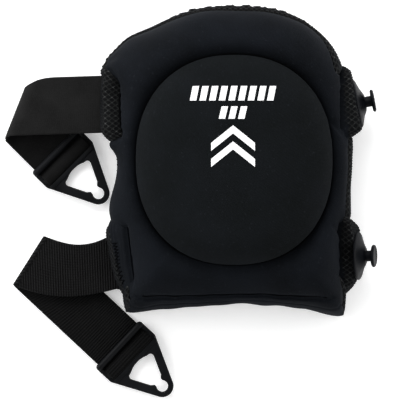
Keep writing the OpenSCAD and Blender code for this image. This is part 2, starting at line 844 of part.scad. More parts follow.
// The lower leg's two edges curve from the tab to the fold; t runs from 0 to 1
lower_exit_dir = unit([-0.97, -0.25]);
function lower_edge(from, to, t) =
    let (reach = norm(to - from))
    hermite(from, lower_exit_dir * reach, to, lower_leg_dir * reach, t);
function lower_height(t) =
    let (s = max(0, (t - level_share) / (1 - level_share)))
    lower_root_z + (lower_leg_z - lower_root_z) * (3 * s ^ 2 - 2 * s ^ 3);
lower_ends = [for (s = [1, -1]) fold_start(lower_fold, s)];
lower_top_end = lower_ends[0][1] > lower_ends[1][1] ? lower_ends[0] : lower_ends[1];
lower_low_end = lower_ends[0][1] > lower_ends[1][1] ? lower_ends[1] : lower_ends[0];
// How far along the upper and the lower edge the strap's bend line meets them, and half of the gap there
bend_ts = [0.5, 0.035];
bend_share = 0.03;
// Share of the way over which the strap keeps the height that it leaves its tab at
level_share = 0.35;

// The stretch of the leg between shares t0 and t1 of each edge, given as [upper edge, lower edge]
module lower_leg_web(t0, t1, steps) {
    function pair(p, t) =
        [[p[0], p[1], lower_height(t) - web_t / 2], [p[0], p[1], lower_height(t) + web_t / 2]];
    function at(e, k) = t0[e] + (t1[e] - t0[e]) * k / steps;
    ribbon(
        [for (k = [0:steps]) pair(lower_edge(lower_root_low, lower_low_end, at(1, k)), at(1, k))],
        [for (k = [0:steps]) pair(lower_edge(lower_root_top, lower_top_end, at(0, k)), at(0, k))]
    );
}

module lower_strap_root() {
    color("#1d1d1d")
        lower_anchor(0);
}

module lower_strap_leg() {
    color("#1d1d1d")
        lower_leg_web([bend_ts[0] + bend_share, bend_ts[1] + bend_share / 2], [1, 1], 9);
}

module lower_strap_loop() {
    color("#1d1d1d")
        strap_loop(lower_fold, lower_loop_r, lower_leg_z);
}

module lower_strap_run() {
    color("#1d1d1d")
        strap_run(lower_fold, lower_loop_r, lower_bar, lower_run_dir);
}

module upper_strap_wrap() { color("#232323") strap_wrap(upper_bar, upper_run_dir); }
module upper_strap_tail() { color("#232323") strap_tail(upper_bar, upper_run_dir); }
module upper_clip() { color("#101216") clip(upper_bar, upper_run_dir); }
module lower_strap_wrap() { color("#1d1d1d") strap_wrap(lower_bar, lower_run_dir); }
module lower_strap_tail() { color("#1d1d1d") strap_tail(lower_bar, lower_run_dir); }
module lower_clip() { color("#101216") clip(lower_bar, lower_run_dir); }

module upper_stud_base() { color("#111317") stud_base(upper_stud_at, upper_stud_turn); }
module upper_stud_button() { color("#111317") stud_button(upper_stud_at, upper_stud_turn); }
module upper_stud_back_plate() { color("#111317") stud_back_plate(upper_stud_at, upper_stud_turn); }
module upper_stud_rivet() { color("#9a9da1") stud_rivet(upper_stud_at, upper_stud_turn); }
module lower_stud_base() { color("#111317") stud_base(lower_stud_at, lower_stud_turn); }
module lower_stud_button() { color("#111317") stud_button(lower_stud_at, lower_stud_turn); }
module lower_stud_back_plate() { color("#111317") stud_back_plate(lower_stud_at, lower_stud_turn); }
module lower_stud_rivet() { color("#9a9da1") stud_rivet(lower_stud_at, lower_stud_turn); }

cap_cover();
cap_seam_thread();
gel_insert();
cap_foam();
printed_mark();
rim_cover();
rim_foam();
backing_foam();
mesh_liner();
top_binding();
bottom_hem();
upper_left_tab();
lower_left_tab();
upper_right_tab();
lower_right_tab();
upper_strap_root();
upper_strap_leg();
upper_strap_loop();
upper_strap_run();
upper_strap_wrap();
upper_strap_tail();
upper_clip();
lower_strap_root();
lower_strap_leg();
lower_strap_loop();
lower_strap_run();
lower_strap_wrap();
lower_strap_tail();
lower_clip();
upper_stud_base();
upper_stud_button();
upper_stud_back_plate();
upper_stud_rivet();
lower_stud_base();
lower_stud_button();
lower_stud_back_plate();
lower_stud_rivet();
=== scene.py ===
"""A strap-on gel knee pad that lies on its back: its covers, mesh sides, straps, clips and studs."""

import math

import bpy
import numpy as np
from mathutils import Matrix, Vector


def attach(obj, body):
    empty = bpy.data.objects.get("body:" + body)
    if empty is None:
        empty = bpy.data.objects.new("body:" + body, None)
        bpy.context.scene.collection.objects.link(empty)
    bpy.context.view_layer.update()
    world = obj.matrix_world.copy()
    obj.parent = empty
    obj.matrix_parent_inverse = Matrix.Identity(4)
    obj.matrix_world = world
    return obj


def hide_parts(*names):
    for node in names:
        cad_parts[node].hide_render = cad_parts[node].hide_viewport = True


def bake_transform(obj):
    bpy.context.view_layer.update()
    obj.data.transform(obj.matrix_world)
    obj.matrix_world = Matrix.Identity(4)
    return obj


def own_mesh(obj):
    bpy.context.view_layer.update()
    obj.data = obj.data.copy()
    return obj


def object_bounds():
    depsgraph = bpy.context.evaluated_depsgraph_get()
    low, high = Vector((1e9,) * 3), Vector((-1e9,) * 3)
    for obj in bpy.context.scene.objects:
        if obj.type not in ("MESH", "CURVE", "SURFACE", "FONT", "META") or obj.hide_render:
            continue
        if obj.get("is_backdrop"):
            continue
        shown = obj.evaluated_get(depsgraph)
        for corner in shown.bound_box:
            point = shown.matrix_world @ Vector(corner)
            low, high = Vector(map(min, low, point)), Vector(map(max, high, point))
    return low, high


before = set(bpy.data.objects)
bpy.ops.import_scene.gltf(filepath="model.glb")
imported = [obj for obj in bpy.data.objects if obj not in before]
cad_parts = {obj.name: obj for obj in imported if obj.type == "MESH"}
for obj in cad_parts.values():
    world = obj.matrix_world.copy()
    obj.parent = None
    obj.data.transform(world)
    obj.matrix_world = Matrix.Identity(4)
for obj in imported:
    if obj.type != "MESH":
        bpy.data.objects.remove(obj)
CAD_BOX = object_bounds()
MM = 0.001


# ---------------------------------------------------------------- small helpers


def unit(v):
    v = np.asarray(v, float)
    return v / np.linalg.norm(v)


def smooth(t):
    t = np.clip(t, 0, 1)
    return t * t * (3 - 2 * t)


def hermite(p0, m0, p1, m1, t):
    return (
        (2 * t**3 - 3 * t**2 + 1) * p0
        + (t**3 - 2 * t**2 + t) * m0
        + (3 * t**2 - 2 * t**3) * p1
        + (t**3 - t**2) * m1
    )


def turned(v):
    return np.array([-v[1], v[0]])


def ripples(x, seed, waves, low, high):
    """Smooth seeded noise of coordinates in mm: a sum of sines between two wavelengths."""
    r = np.random.default_rng(seed)
    x = np.asarray(x, float)
    if x.ndim == 1:
        x = x[:, None]
    total = np.zeros(x.shape[:-1])
    for _ in range(waves):
        d = r.normal(size=x.shape[-1])
        d /= np.linalg.norm(d)
        length = low * (high / low) ** r.random()
        total += np.sin(2 * np.pi * (x @ d) / length + r.random() * 2 * np.pi)
    return total / math.sqrt(waves / 2)


def placed(obj):
    bpy.context.scene.collection.objects.link(obj)
    return obj


def build(name, points, faces, material, weave=None, smooth_faces=True):
    """A mesh object from points in mm."""
    mesh = bpy.data.meshes.new(name)
    mesh.from_pydata((np.asarray(points, float) * MM).tolist(), [], [list(map(int, f)) for f in faces])
    mesh.update()
    if smooth_faces:
        mesh.polygons.foreach_set("use_smooth", [True] * len(mesh.polygons))
    if weave is not None:
        a = mesh.attributes.new("weave", "FLOAT_VECTOR", "POINT")
        weave = np.asarray(weave, np.float32)
        a.data.foreach_set("vector", weave[:, :3].ravel())
        # Fourth column: on tab covers, the share of bare jersey; on webbing, its reverse side, which is painted darker
        # as shade.
        if weave.shape[1] > 3:
            b = mesh.attributes.new("bare_share_and_back_shade", "FLOAT", "POINT")
            b.data.foreach_set("value", weave[:, 3].copy())
    mesh.materials.append(material)
    return placed(bpy.data.objects.new(name, mesh))


def grid_faces(rows, cols, closed):
    faces = []
    for i in range(rows - 1):
        for j in range(cols if closed else cols - 1):
            k = (j + 1) % cols
            faces.append((i * cols + j, (i + 1) * cols + j, (i + 1) * cols + k, i * cols + k))
    return faces


def join(parts):
    """Lists of (points, faces, weave) as one."""
    points, faces, weave, n = [], [], [], 0
    for p, f, w in parts:
        points.append(np.asarray(p, float).reshape(-1, 3))
        weave.append(np.zeros_like(points[-1]) if w is None else np.asarray(w, float))
        faces += [tuple(i + n for i in face) for face in f]
        n += len(points[-1])
    return np.vstack(points), faces, np.vstack(weave)


# ---------------------------------------------------------------- the pad's shape, as in the CAD

CAP_MID = np.array([4.0, 1.0])
CAP_HALF = (68.0, 73.0)
CAP_POWER = 2.25
PAD_H = 71.0
THIGH_LIFT, SHIN_LIFT = 26.0, 36.0
THIGH_LIFT_W, SHIN_LIFT_W = 70.0, 76.0
DOME = dict(half_w=84.0, thigh=112.0, shin=104.0, square=3.4, slump=0.55)
HEM_CORNERS = (235.0, 305.0)
OUTLINE = np.array([
    [82, 1], [80, 24], [79, 48], [77, 66], [70, 81], [57, 93], [34, 102], [6, 104],
    [-24, 102], [-50, 93], [-68, 80], [-77, 64], [-79, 42], [-78, 20], [-76, 0], [-77, -24],
    [-76, -48], [-72, -72], [-69.4, -103.8], [-44, -101], [-12, -98], [20, -98], [52, -101],
    [79.1, -106.2], [80, -86], [78, -64], [79, -42], [81, -20],
], float)


def outline_table():
    """The outline's distance from the cap's middle in each direction: cubic pieces, with a break at each hem corner."""
    d = OUTLINE - CAP_MID
    angle = np.degrees(np.arctan2(d[:, 1], d[:, 0]))
    angle = np.where(angle < -0.5, angle + 360, angle)
    corner = np.abs(angle[:, None] - HEM_CORNERS).min(1) < 0.5
    angle = np.concatenate([angle[-1:] - 360, angle, angle[:3] + 360])
    radius, corner = (np.concatenate([v[-1:], v, v[:3]]) for v in (np.hypot(d[:, 0], d[:, 1]), corner))

    def slope(i, j):
        return (radius[j] - radius[i]) / (angle[j] - angle[i])

    out_a = np.arange(0, 360.125, 0.25)
    i = np.searchsorted(angle, out_a, "right") - 1
    h = angle[i + 1] - angle[i]
    m0 = np.where(corner[i], slope(i, i + 1), slope(i - 1, i + 1))
    m1 = np.where(corner[i + 1], slope(i, i + 1), slope(i, i + 2))
    return out_a, hermite(radius[i], m0 * h, radius[i + 1], m1 * h, (out_a - angle[i]) / h)


TABLE_A, TABLE_R = outline_table()


def rim_radius(a):
    return np.interp(np.mod(a, 360), TABLE_A, TABLE_R)


def cosd(a):
    return np.cos(np.radians(a))


def sind(a):
    return np.sin(np.radians(a))


def rounded_norm(a, half_w, half_l):
    """1 over the radius, in direction a, of a rounded oval with these half sizes."""
    return ((np.abs(cosd(a)) / half_w) ** CAP_POWER + (np.abs(sind(a)) / half_l) ** CAP_POWER) ** (1 / CAP_POWER)


def cap_radius(a):
    return 1 / rounded_norm(a, *CAP_HALF)


def lift_share(a):
    x = rim_radius(a) * cosd(a)
    w = np.where(sind(a) > 0, THIGH_LIFT_W, SHIN_LIFT_W)
    return np.maximum(0, 1 - (x / w) ** 2) ** 1.5


def edge_z(a):
    return np.where(sind(a) > 0, THIGH_LIFT, SHIN_LIFT) * lift_share(a)


def skirt(a):
    return np.where(sind(a) > 0, 0, lift_share(a))


def dome_z(r, a):
    half_l = np.where(sind(a) > 0, DOME["thigh"], DOME["shin"])
    d = np.maximum(r, 0) * rounded_norm(a, DOME["half_w"], half_l)
    return PAD_H * np.maximum(0, 1 - d ** DOME["square"]) ** DOME["slump"]


def shell(u, a):
    u, a = np.broadcast_arrays(np.asarray(u, float), np.asarray(a, float))
    cap = cap_radius(a)
    across = np.where(u <= 1, 0, np.sin(np.pi / 2 * np.clip(u - 1, 0, 1)))
    r = np.where(u <= 1, cap * u, cap + (rim_radius(a) - cap) * across)
    down = (1 - skirt(a)) * np.sqrt(np.maximum(0, 1 - across**2)) + skirt(a) * (1 - across**1.25)
    low = edge_z(a)
    z = np.where(u <= 1, dome_z(r, a), low + (dome_z(cap, a) - low) * down)
    return np.stack([CAP_MID[0] + r * cosd(a), CAP_MID[1] + r * sind(a), z], -1)


def shell_normal(u, a):
    step = 0.02
    u, a = np.broadcast_arrays(np.asarray(u, float), np.asarray(a, float))
    late = u > 2 - step
    out = np.where(late[..., None], shell(u, a) - shell(u - step, a), shell(u + step, a) - shell(u, a))
    around = shell(u, a + 1) - shell(u, a - 1)
    n = np.cross(out, around)
    n /= np.linalg.norm(n, axis=-1)[..., None] + 1e-12
    return np.where((u < step)[..., None], np.array([0.0, 0.0, 1.0]), n)


GROUND = 0.25


def off_ground(p):
    p[..., 2] = np.maximum(p[..., 2], GROUND)
    return p


def pad(u, a, out):
    """Points that stand a distance out of the shell, or in if it is negative."""
    return off_ground(shell(u, a) + np.asarray(out)[..., None] * shell_normal(u, a))


CAP_RISE, RIM_RISE = 9.0, 5.0
LINER_DEPTH = 15.0


def cap_out(u, a):
    """How far the cap's cover stands out from the shell, with the pull of its seam."""
    u, a = np.broadcast_arrays(np.asarray(u, float), np.asarray(a, float))
    rise = CAP_RISE * np.sqrt(np.maximum(0, 1 - u**7)) - 1.0
    near = np.exp(-(1 - u) * cap_radius(a) / 7.0)
    pucker = 0.22 * near * ripples(shell(1, a)[..., :2], 11, 14, 5, 16)
    p = shell(u, a)[..., :2]
    lumps = 0.45 * ripples(p, 12, 8, 45, 110) * smooth((1 - u) / 0.2)
    return rise + pucker * smooth((1 - u) * 12) + lumps - 2.6 * np.exp(-(((1 - u) * cap_radius(a)) / 1.6) ** 2)


# The tabs. span and slit: the directions that the tab and the slit beside it take up. line: the slit in plan. gape: the
# slit's width as a share of u. plain: the line in plan that its jersey ends on. thick: how far it swells, and ease: how
# slowly, from the slit. soft_end: which end runs out gently, and lead: how gently. seam: depth and radius of the
# near-black thread in the slit, which stands for its seam and also paints the slit's shade. zigzag: the shares of its
# depth and of its length that are sewn over, and the number of stitches.
TABS = {
    "upper_left_tab": dict(
        span=(141, 170.5), slit=(142, 169), line=((-76.9, 68), (-76.2, 17.5)), gape=0.07, plain=None,
        thick=8.4, soft_end=1, ease=0.16, lead=0.42, seam=(2.3, 1.15), zigzag=None),
    "lower_left_tab": dict(
        span=(203.5, 232), slit=(212, 231), line=((-70.0, -49), (-64.6, -88)), gape=0.03,
        plain=((-82.5, -50), (-73.5, -85)),
        thick=8.0, soft_end=0, ease=0.55, lead=0.6, seam=(3.5, 1.2), zigzag=((0.2, 0.36), (0.46, 0.9), 11)),
    "upper_right_tab": dict(
        span=(12, 42), slit=(17, 40), line=((77.0, 63), (79.6, 24)), gape=0.05, plain=((80.5, 60), (83.0, 24)),
        thick=13.6, soft_end=0, ease=0.16, lead=0.42, seam=(3.9, 1.2), zigzag=None),
    "lower_right_tab": dict(
        span=(309.5, 331), slit=(312, 328), line=((76.4, -50), (77.2, -81)), gape=0.04,
        plain=((79.4, -50), (80.6, -81)),
        thick=12.8, soft_end=1, ease=0.2, lead=0.42, seam=(3.9, 1.2), zigzag=None),
}


def rim_puff(u):
    t = np.clip(u - 1, 0, 1)
    return RIM_RISE * np.sin(np.pi * t**0.7) - 2.6 * np.exp(-((t * 9) ** 2))


# Puffs of the roll: direction, share u, height, and spread in each
SHOULDER = [(133.0, 1.68, 5.2, 8.0, 0.3), (142.5, 1.7, 9.2, 5.4, 0.3)]
BUMPS = [
    (171.5, 1.52, 3.4, 4.0, 0.16), (11.0, 1.5, 3.2, 3.6, 0.16), (207.0, 1.5, 1.6, 4.0, 0.15),
    (235.5, 1.62, 1.5, 3.0, 0.1), (332.5, 1.5, 1.6, 4.0, 0.15), (305.0, 1.62, 1.2, 3.0, 0.1), *SHOULDER,
    (172.0, 1.75, 2.6, 5.0, 0.25), (203.0, 1.7, 4.0, 9.0, 0.3), (335.0, 1.7, 2.8, 9.0, 0.3), (8.0, 1.75, 1.5, 5.0, 0.2),
]


def puffs(u, a, bumps):
    return sum(h * np.exp(-(((a - at) / w_a) ** 2) - ((u - mid) / w_u) ** 2) for at, mid, h, w_a, w_u in bumps)


def line_radius(line, a):
    """Distance from the cap's middle to a line in plan, in direction a."""
    p, q = (np.array(v, float) - CAP_MID for v in line)
    d = q - p
    return (p[0] * d[1] - p[1] * d[0]) / (cosd(a) * d[1] - sind(a) * d[0])


U_FINE = np.linspace(1.05, 1.98, 187)


def tab_top(line, a):
    """The share u at which a line in plan is crossed in direction a."""
    a = np.atleast_1d(a)
    u, a = np.meshgrid(U_FINE, a, indexing="ij")
    p = shell(u, a) + (rim_puff(u) + 0.55 * puffs(u, a, SHOULDER))[..., None] * shell_normal(u, a)
    r = np.hypot(p[..., 0] - CAP_MID[0], p[..., 1] - CAP_MID[1])
    hit = (r >= line_radius(line, a)).argmax(0)
    return np.where(hit > 0, U_FINE[hit], 1.7)


TAB_TOPS = {}
for tab_name, tab in TABS.items():
    fine = np.arange(tab["span"][0] - 6, tab["span"][1] + 6.01, 0.5)
    raw = np.clip(tab_top(tab["line"], fine), 1.3, 1.8)
    TAB_TOPS[tab_name] = (fine, np.convolve(np.pad(raw, 4, "edge"), np.ones(9) / 9, "valid"))


def window(a, span, soft):
    return smooth((a - span[0]) / soft + 0.5) * smooth((span[1] - a) / soft + 0.5)


# Short tucks in the jersey, at the ends of the slits and at the waists: a segment in plan, its depth and its width
TUCKS = [
    ((-70.5, -50.5), (-77, -47), 1.7, 1.2), ((76.2, -49), (71.5, -44.5), 1.4, 1.2), ((73, 26), (86, 12.5), 1.7, 2.2),
    ((77.2, 62), (73.5, 66.5), 1.2, 1.2), ((-76.6, 65), (-73, 69.5), 2.0, 1.4), ((-75.5, 19), (-84, 12), 1.2, 2.0),
]


def tucked(u, a):
    """How far the tucks pull the rim's cover in."""
    p = (shell(u, a) + rim_puff(u)[..., None] * shell_normal(u, a))[..., :2]
    pull = np.zeros(p.shape[:-1])
    for start, end, deep, wide in TUCKS:
        start, way = np.array(start, float), np.subtract(end, start)
        t = np.clip((p - start) @ way / (way @ way), 0, 1)
        away = np.linalg.norm(p - start - t[..., None] * way, axis=-1)
        pull += deep * (1 - 0.5 * t) * np.exp(-((away / wide) ** 2))
    return pull


def rim_out(u, a):
    """How far the rim's cover stands out: the roll, the pinched lines beside the tabs, and the puffs under them."""
    u, a = np.broadcast_arrays(np.asarray(u, float), np.asarray(a, float))
    a = np.mod(a, 360)
    out = rim_puff(u)
    t = np.clip(u - 1, 0, 1)
    pull = tucked(u, a)
    for name, tab in TABS.items():
        top = np.interp(a, *TAB_TOPS[name])
        share = window(a, tab["slit"], 5.0)
        gap = (u - top) / tab["gape"]
        pull += share * (5.6 * np.exp(-(gap**2)) + 0.9 * np.exp(-((gap / 3) ** 2)))
        crease = ripples(shell(1.5, a)[..., :2], hash_of(name), 10, 3, 10)
        pull += share * 0.35 * crease * np.exp(-((gap / 2.6) ** 2))
    out = out + puffs(u, a, BUMPS)
    near = np.exp(-t * 14)
    out = out + 0.25 * near * ripples(shell(1, a)[..., :2], 21, 16, 4, 14) * smooth(t * 12)
    p = shell(u, a)
    out = out + 0.5 * ripples(p, 22, 10, 30, 80) * smooth(t / 0.3) * smooth((1.02 - t) / 0.2)
    hem = window(a, (HEM_CORNERS[0] + 1, HEM_CORNERS[1] - 1), 3.0)
    pull += hem * 1.3 * np.exp(-(((u - 1.47) / 0.03) ** 2))
    return out - pull


def hash_of(text):
    return sum((i + 1) * ord(c) for i, c in enumerate(text)) % 9973


# ---------------------------------------------------------------- materials


def new_material(name):
    m = bpy.data.materials.new(name)
    m.use_nodes = True
    return m, m.node_tree, m.node_tree.nodes["Principled BSDF"]


def feed(tree, socket, value):
    """A link into a socket, or a constant on it."""
    if isinstance(value, bpy.types.NodeSocket):
        tree.links.new(value, socket)
    else:
        socket.default_value = value


def dress(tree, n, **inputs):
    for key, value in inputs.items():
        feed(tree, n.inputs[key.replace("_", " ")], value)
    return n


def node(tree, kind, settings=None, **inputs):
    n = tree.nodes.new(kind)
    for key, value in (settings or {}).items():
        setattr(n, key, value)
    return dress(tree, n, **inputs)


def place(tree):
    return node(tree, "ShaderNodeTexCoord").outputs["Object"]


def noise(tree, scale, detail, rough, here):
    return node(tree, "ShaderNodeTexNoise", Scale=scale, Detail=detail, Roughness=rough, Vector=here).outputs["Fac"]


def ramp(tree, value, stops):
    n = node(tree, "ShaderNodeValToRGB", Fac=value)
    elements = n.color_ramp.elements
    while len(elements) < len(stops):
        elements.new(0.5)
    for e, (at, level) in zip(elements, stops):
        e.position = at
        e.color = (level, level, level, 1)
    return n.outputs["Color"]


def mix(tree, factor, a, b):
    n = node(tree, "ShaderNodeMix", {"data_type": "RGBA"})
    for index, value in ((0, factor), (6, a), (7, b)):
        feed(tree, n.inputs[index], (*value, 1) if isinstance(value, tuple) else value)
    return n.outputs[2]


def calc(tree, operation, a, b=None):
    n = node(tree, "ShaderNodeMath", {"operation": operation})
    feed(tree, n.inputs[0], a)
    if b is not None:
        feed(tree, n.inputs[1], b)
    return n.outputs[0]


def wave(tree, x, length):
    """A sine of a coordinate with a wavelength in mm."""
    return calc(tree, "SINE", calc(tree, "MULTIPLY", x, 2 * math.pi / length))


def bump(tree, height, strength, distance, below=None):
    n = node(tree, "ShaderNodeBump", Strength=strength, Distance=distance, Height=height)
    if below is not None:
        tree.links.new(below, n.inputs["Normal"])
    return n.outputs["Normal"]


def weave_xyz(tree):
    a = node(tree, "ShaderNodeAttribute", {"attribute_name": "weave"})
    return tuple(node(tree, "ShaderNodeSeparateXYZ", Vector=a.outputs["Vector"]).outputs)


def bare_share_and_back_shade(tree):
    return node(tree, "ShaderNodeAttribute", {"attribute_name": "bare_share_and_back_shade"}).outputs["Fac"]


def bands(tree, here, scale, distortion, detail):
    settings = {"wave_type": "BANDS", "bands_direction": "DIAGONAL"}
    n = node(tree, "ShaderNodeTexWave", settings, Scale=scale, Distortion=distortion, Detail=detail, Vector=here)
    return n.outputs["Fac"]


LINT = (0.016, 0.018, 0.022)
FABRIC = dict(Specular_IOR_Level=0.05, Sheen_Roughness=0.42, Sheen_Tint=(0.62, 0.72, 0.95, 1))


def knit(tree, here, dark, light):
    """The colour of a fine knit: soft mottling, grain and a little lint, with the grain itself for its bump."""
    base = mix(tree, ramp(tree, noise(tree, 26, 3, 0.55, here), [(0.35, 0.0), (0.68, 1.0)]), dark, light)
    grain = noise(tree, 1500, 2, 0.6, here)
    base = mix(tree, ramp(tree, grain, [(0.3, 0.0), (0.75, 0.55)]), base, tuple(2.1 * c for c in light))
    return mix(tree, ramp(tree, noise(tree, 620, 0, 0.5, here), [(0.74, 0.0), (0.82, 0.35)]), base, LINT), grain


def jersey(name, dark, light, sheen):
    """Smooth stretch knit: fine courses, soft mottling, a little lint."""
    m, t, s = new_material(name)
    here = place(t)
    base, grain = knit(t, here, dark, light)
    courses = bump(t, bands(t, here, 260, 2, 1), 0.12, 0.0002)
    normal = bump(t, grain, 0.35, 0.00035, courses)
    dress(t, s, Base_Color=base, Normal=normal, Roughness=0.88, Sheen_Weight=sheen, **FABRIC)
    return m


def open_mesh(name, pitch, dark, yarn, yarn_glint):
    """Coarse spacer mesh: crossing yarns in relief with dark cells between them, in the piece's weave coordinates.
    Where bare_share_and_back_shade is 1 it is jersey instead."""
    m, t, s = new_material(name)
    x, y, _ = weave_xyz(t)
    bare = bare_share_and_back_shade(t)
    p = calc(t, "MULTIPLY", x, math.pi / pitch[0])
    q = calc(t, "MULTIPLY", y, math.pi / pitch[1])
    one_way = calc(t, "SINE", calc(t, "ADD", p, q))
    other_way = calc(t, "SINE", calc(t, "SUBTRACT", p, q))
    cell = calc(t, "ABSOLUTE", calc(t, "MULTIPLY", one_way, other_way))
    here = place(t)
    fuzz = noise(t, 900, 2, 0.6, here)
    # Painted shade: the cells between the yarns are darkened, as the shade in the mesh's openings.
    base = mix(t, ramp(t, cell, [(0.1, 1.0), (0.42, 0.0)]), dark, yarn)
    glint_patches = ramp(t, noise(t, 420, 1, 0.5, here), [(0.5, 0.0), (0.66, 1.0)])
    # Painted highlight: light flecks along the yarns, in patches, as glints off the yarns.
    base = mix(t, calc(t, "MULTIPLY", ramp(t, cell, [(0.0, 1.0), (0.12, 0.0)]), glint_patches), base, yarn_glint)
    base = mix(t, ramp(t, fuzz, [(0.35, 0.0), (0.8, 0.4)]), base, yarn)
    base = mix(t, bare, base, knit(t, here, RIM_DARK, RIM_LIGHT)[0])
    height = calc(t, "MULTIPLY", calc(t, "SUBTRACT", 1.0, cell), calc(t, "SUBTRACT", 1.0, bare))
    normal = bump(t, fuzz, 0.3, 0.0003, bump(t, height, 0.8, 0.0005))
    dress(t, s, Base_Color=base, Normal=normal, Roughness=0.86, Sheen_Weight=0.01, **FABRIC)
    return m


def webbing(name, web_tone, ribs, pitch):
    """Narrow woven strap. ribs is how strongly its cross ribs stand out, at that pitch in mm along its own weave."""
    m, t, s = new_material(name)
    x, y, phase = weave_xyz(t)
    here = place(t)
    fuzz = noise(t, 1300, 2, 0.6, here)
    # Painted shade and highlight: low darkens the rib grooves and high lightens the rib crests, as much as ribs says.
    low, high = (tuple(c * (1 - ribs + k * ribs) for c in web_tone) for k in (0.05, 3.0))
    light = tuple(c * 3.0 for c in web_tone)
    uneven = ramp(t, noise(t, 150, 2, 0.6, here), [(0.35, 0.0), (0.65, 1.0)])
    uneven = calc(t, "ADD", calc(t, "MULTIPLY", uneven, 0.35), 0.2)
    cross = calc(t, "MULTIPLY", wave(t, y, 1.9), 0.12)
    height = calc(t, "ADD", calc(t, "MULTIPLY", wave(t, phase, pitch), uneven), calc(t, "ADD", cross, 0.45))
    base = mix(t, ramp(t, height, [(0.25, 0.0), (0.8, 1.0)]), low, high)
    base = mix(t, ramp(t, noise(t, 60, 3, 0.6, here), [(0.3, 0.0), (0.75, 0.35)]), base, light)
    base = mix(t, ramp(t, fuzz, [(0.45, 0.0), (0.85, 0.5)]), base, light)
    # Painted shade: the webbing's reverse side is darkened halfway toward near black.
    base = mix(t, calc(t, "MULTIPLY", bare_share_and_back_shade(t), 0.5), base, (0.0012, 0.0012, 0.0013))
    threads = calc(t, "MULTIPLY", wave(t, x, 0.8), wave(t, y, 0.7))
    normal = bump(t, threads, 0.3, 0.00015, bump(t, height, 0.9 * ribs + 0.02, 0.0006))
    dress(t, s, Base_Color=base, Normal=bump(t, fuzz, 0.25, 0.0002, normal), Roughness=0.78, Specular_IOR_Level=0.05,
          Sheen_Weight=0.01, Sheen_Roughness=0.45)
    return m


def moulded(name, colour, roughness, gloss=0.12, metal=0.0):
    """Moulded plastic, or turned metal, with faint ripples and hairline scratches."""
    m, t, s = new_material(name)
    here = place(t)
    wear = noise(t, 90, 4, 0.6, here)
    base = mix(t, ramp(t, wear, [(0.4, 0.0), (0.8, 1.0)]), colour, tuple(1.9 * c for c in colour))
    rough = node(t, "ShaderNodeMapRange", Value=wear, From_Min=0.3, From_Max=0.75,
                 To_Min=roughness * 0.75, To_Max=roughness * 1.6)
    ripple = bump(t, noise(t, 120, 2, 0.5, here), 0.1, 0.0004)
    dress(t, s, Base_Color=base, Roughness=rough.outputs[0], Specular_IOR_Level=gloss, Metallic=metal,
          Normal=bump(t, noise(t, 700, 2, 0.5, here), 0.12, 0.0001, ripple))
    return m


def printed(name):
    m, t, s = new_material(name)
    worn = noise(t, 800, 3, 0.6, place(t))
    base = mix(t, ramp(t, worn, [(0.25, 1.0), (0.5, 0.0)]), (0.9, 0.9, 0.9), (0.66, 0.67, 0.69))
    dress(t, s, Base_Color=base, Normal=bump(t, worn, 0.25, 0.0002), Roughness=0.6)
    return m


def cord_thread(name, colour):
    m, t, s = new_material(name)
    twist = bands(t, place(t), 420, 0.4, 2)
    base = mix(t, twist, tuple(0.6 * c for c in colour), tuple(1.5 * c for c in colour))
    dress(t, s, Base_Color=base, Normal=bump(t, twist, 0.4, 0.0002), Roughness=0.9, Specular_IOR_Level=0.02)
    return m


RIM_DARK, RIM_LIGHT = (0.0017, 0.0021, 0.0026), (0.0039, 0.0048, 0.0065)
CAP_JERSEY = jersey("cap_jersey", (0.0021, 0.0027, 0.0026), (0.0041, 0.0049, 0.0058), 0.008)
RIM_JERSEY = jersey("rim_jersey", RIM_DARK, RIM_LIGHT, 0.010)
TAB_PITCH = (5.0, 3.9)
TAB_MESH = open_mesh("tab_mesh", TAB_PITCH, (0.0020, 0.0022, 0.0026), (0.0120, 0.0125, 0.0124), (0.06, 0.062, 0.062))
LINER_MESH = open_mesh("liner_mesh", (1.7, 1.5), (0.004, 0.0045, 0.005), (0.012, 0.013, 0.015), (0.05, 0.05, 0.055))
WEB = {
    "upper": webbing("upper_webbing", (0.0062, 0.0062, 0.0062), 0.10, 1.3),
    "lower": webbing("lower_webbing", (0.0034, 0.0034, 0.0035), 1.0, 1.75),
}
PLASTIC = moulded("clip_plastic", (0.0019, 0.0022, 0.0029), 0.46)
STUD_PLASTIC = moulded("stud_plastic", (0.0017, 0.0021, 0.0031), 0.42, 0.06)
STEEL = moulded("rivet_steel", (0.42, 0.42, 0.44), 0.3, metal=1.0)
INK = printed("print_ink")
# Near-black thread; in the slits, the hem fold and the cap's groove it is also painted shade.
THREAD_AND_PAINTED_SHADE = cord_thread("thread", (0.0009, 0.001, 0.0012))


# ---------------------------------------------------------------- the pad


def pad_rows(U, OUT, A):
    """Points of a grid given by rows of u and of distance out of the shell, at the angles A."""
    return pad(U, np.broadcast_to(A, U.shape), OUT)


def lengths(P):
    """Distance along each row and down each column of a grid of points, as weave coordinates."""
    along = np.zeros(P.shape[:2])
    along[:, 1:] = np.cumsum(np.linalg.norm(np.diff(P, axis=1), axis=2), axis=1)
    middle = along[P.shape[0] // 2]
    down = np.zeros(P.shape[:2])
    down[1:] = np.cumsum(np.linalg.norm(np.diff(P, axis=0), axis=2), axis=0)
    return np.stack([np.broadcast_to(middle, P.shape[:2]), down, np.zeros(P.shape[:2])], -1)


def weld(obj, distance=1e-6):
    import bmesh

    b = bmesh.new()
    b.from_mesh(obj.data)
    bmesh.ops.remove_doubles(b, verts=b.verts, dist=distance)
    bmesh.ops.recalc_face_normals(b, faces=b.faces)
    b.to_mesh(obj.data)
    b.free()
    obj.data.update()
    return obj


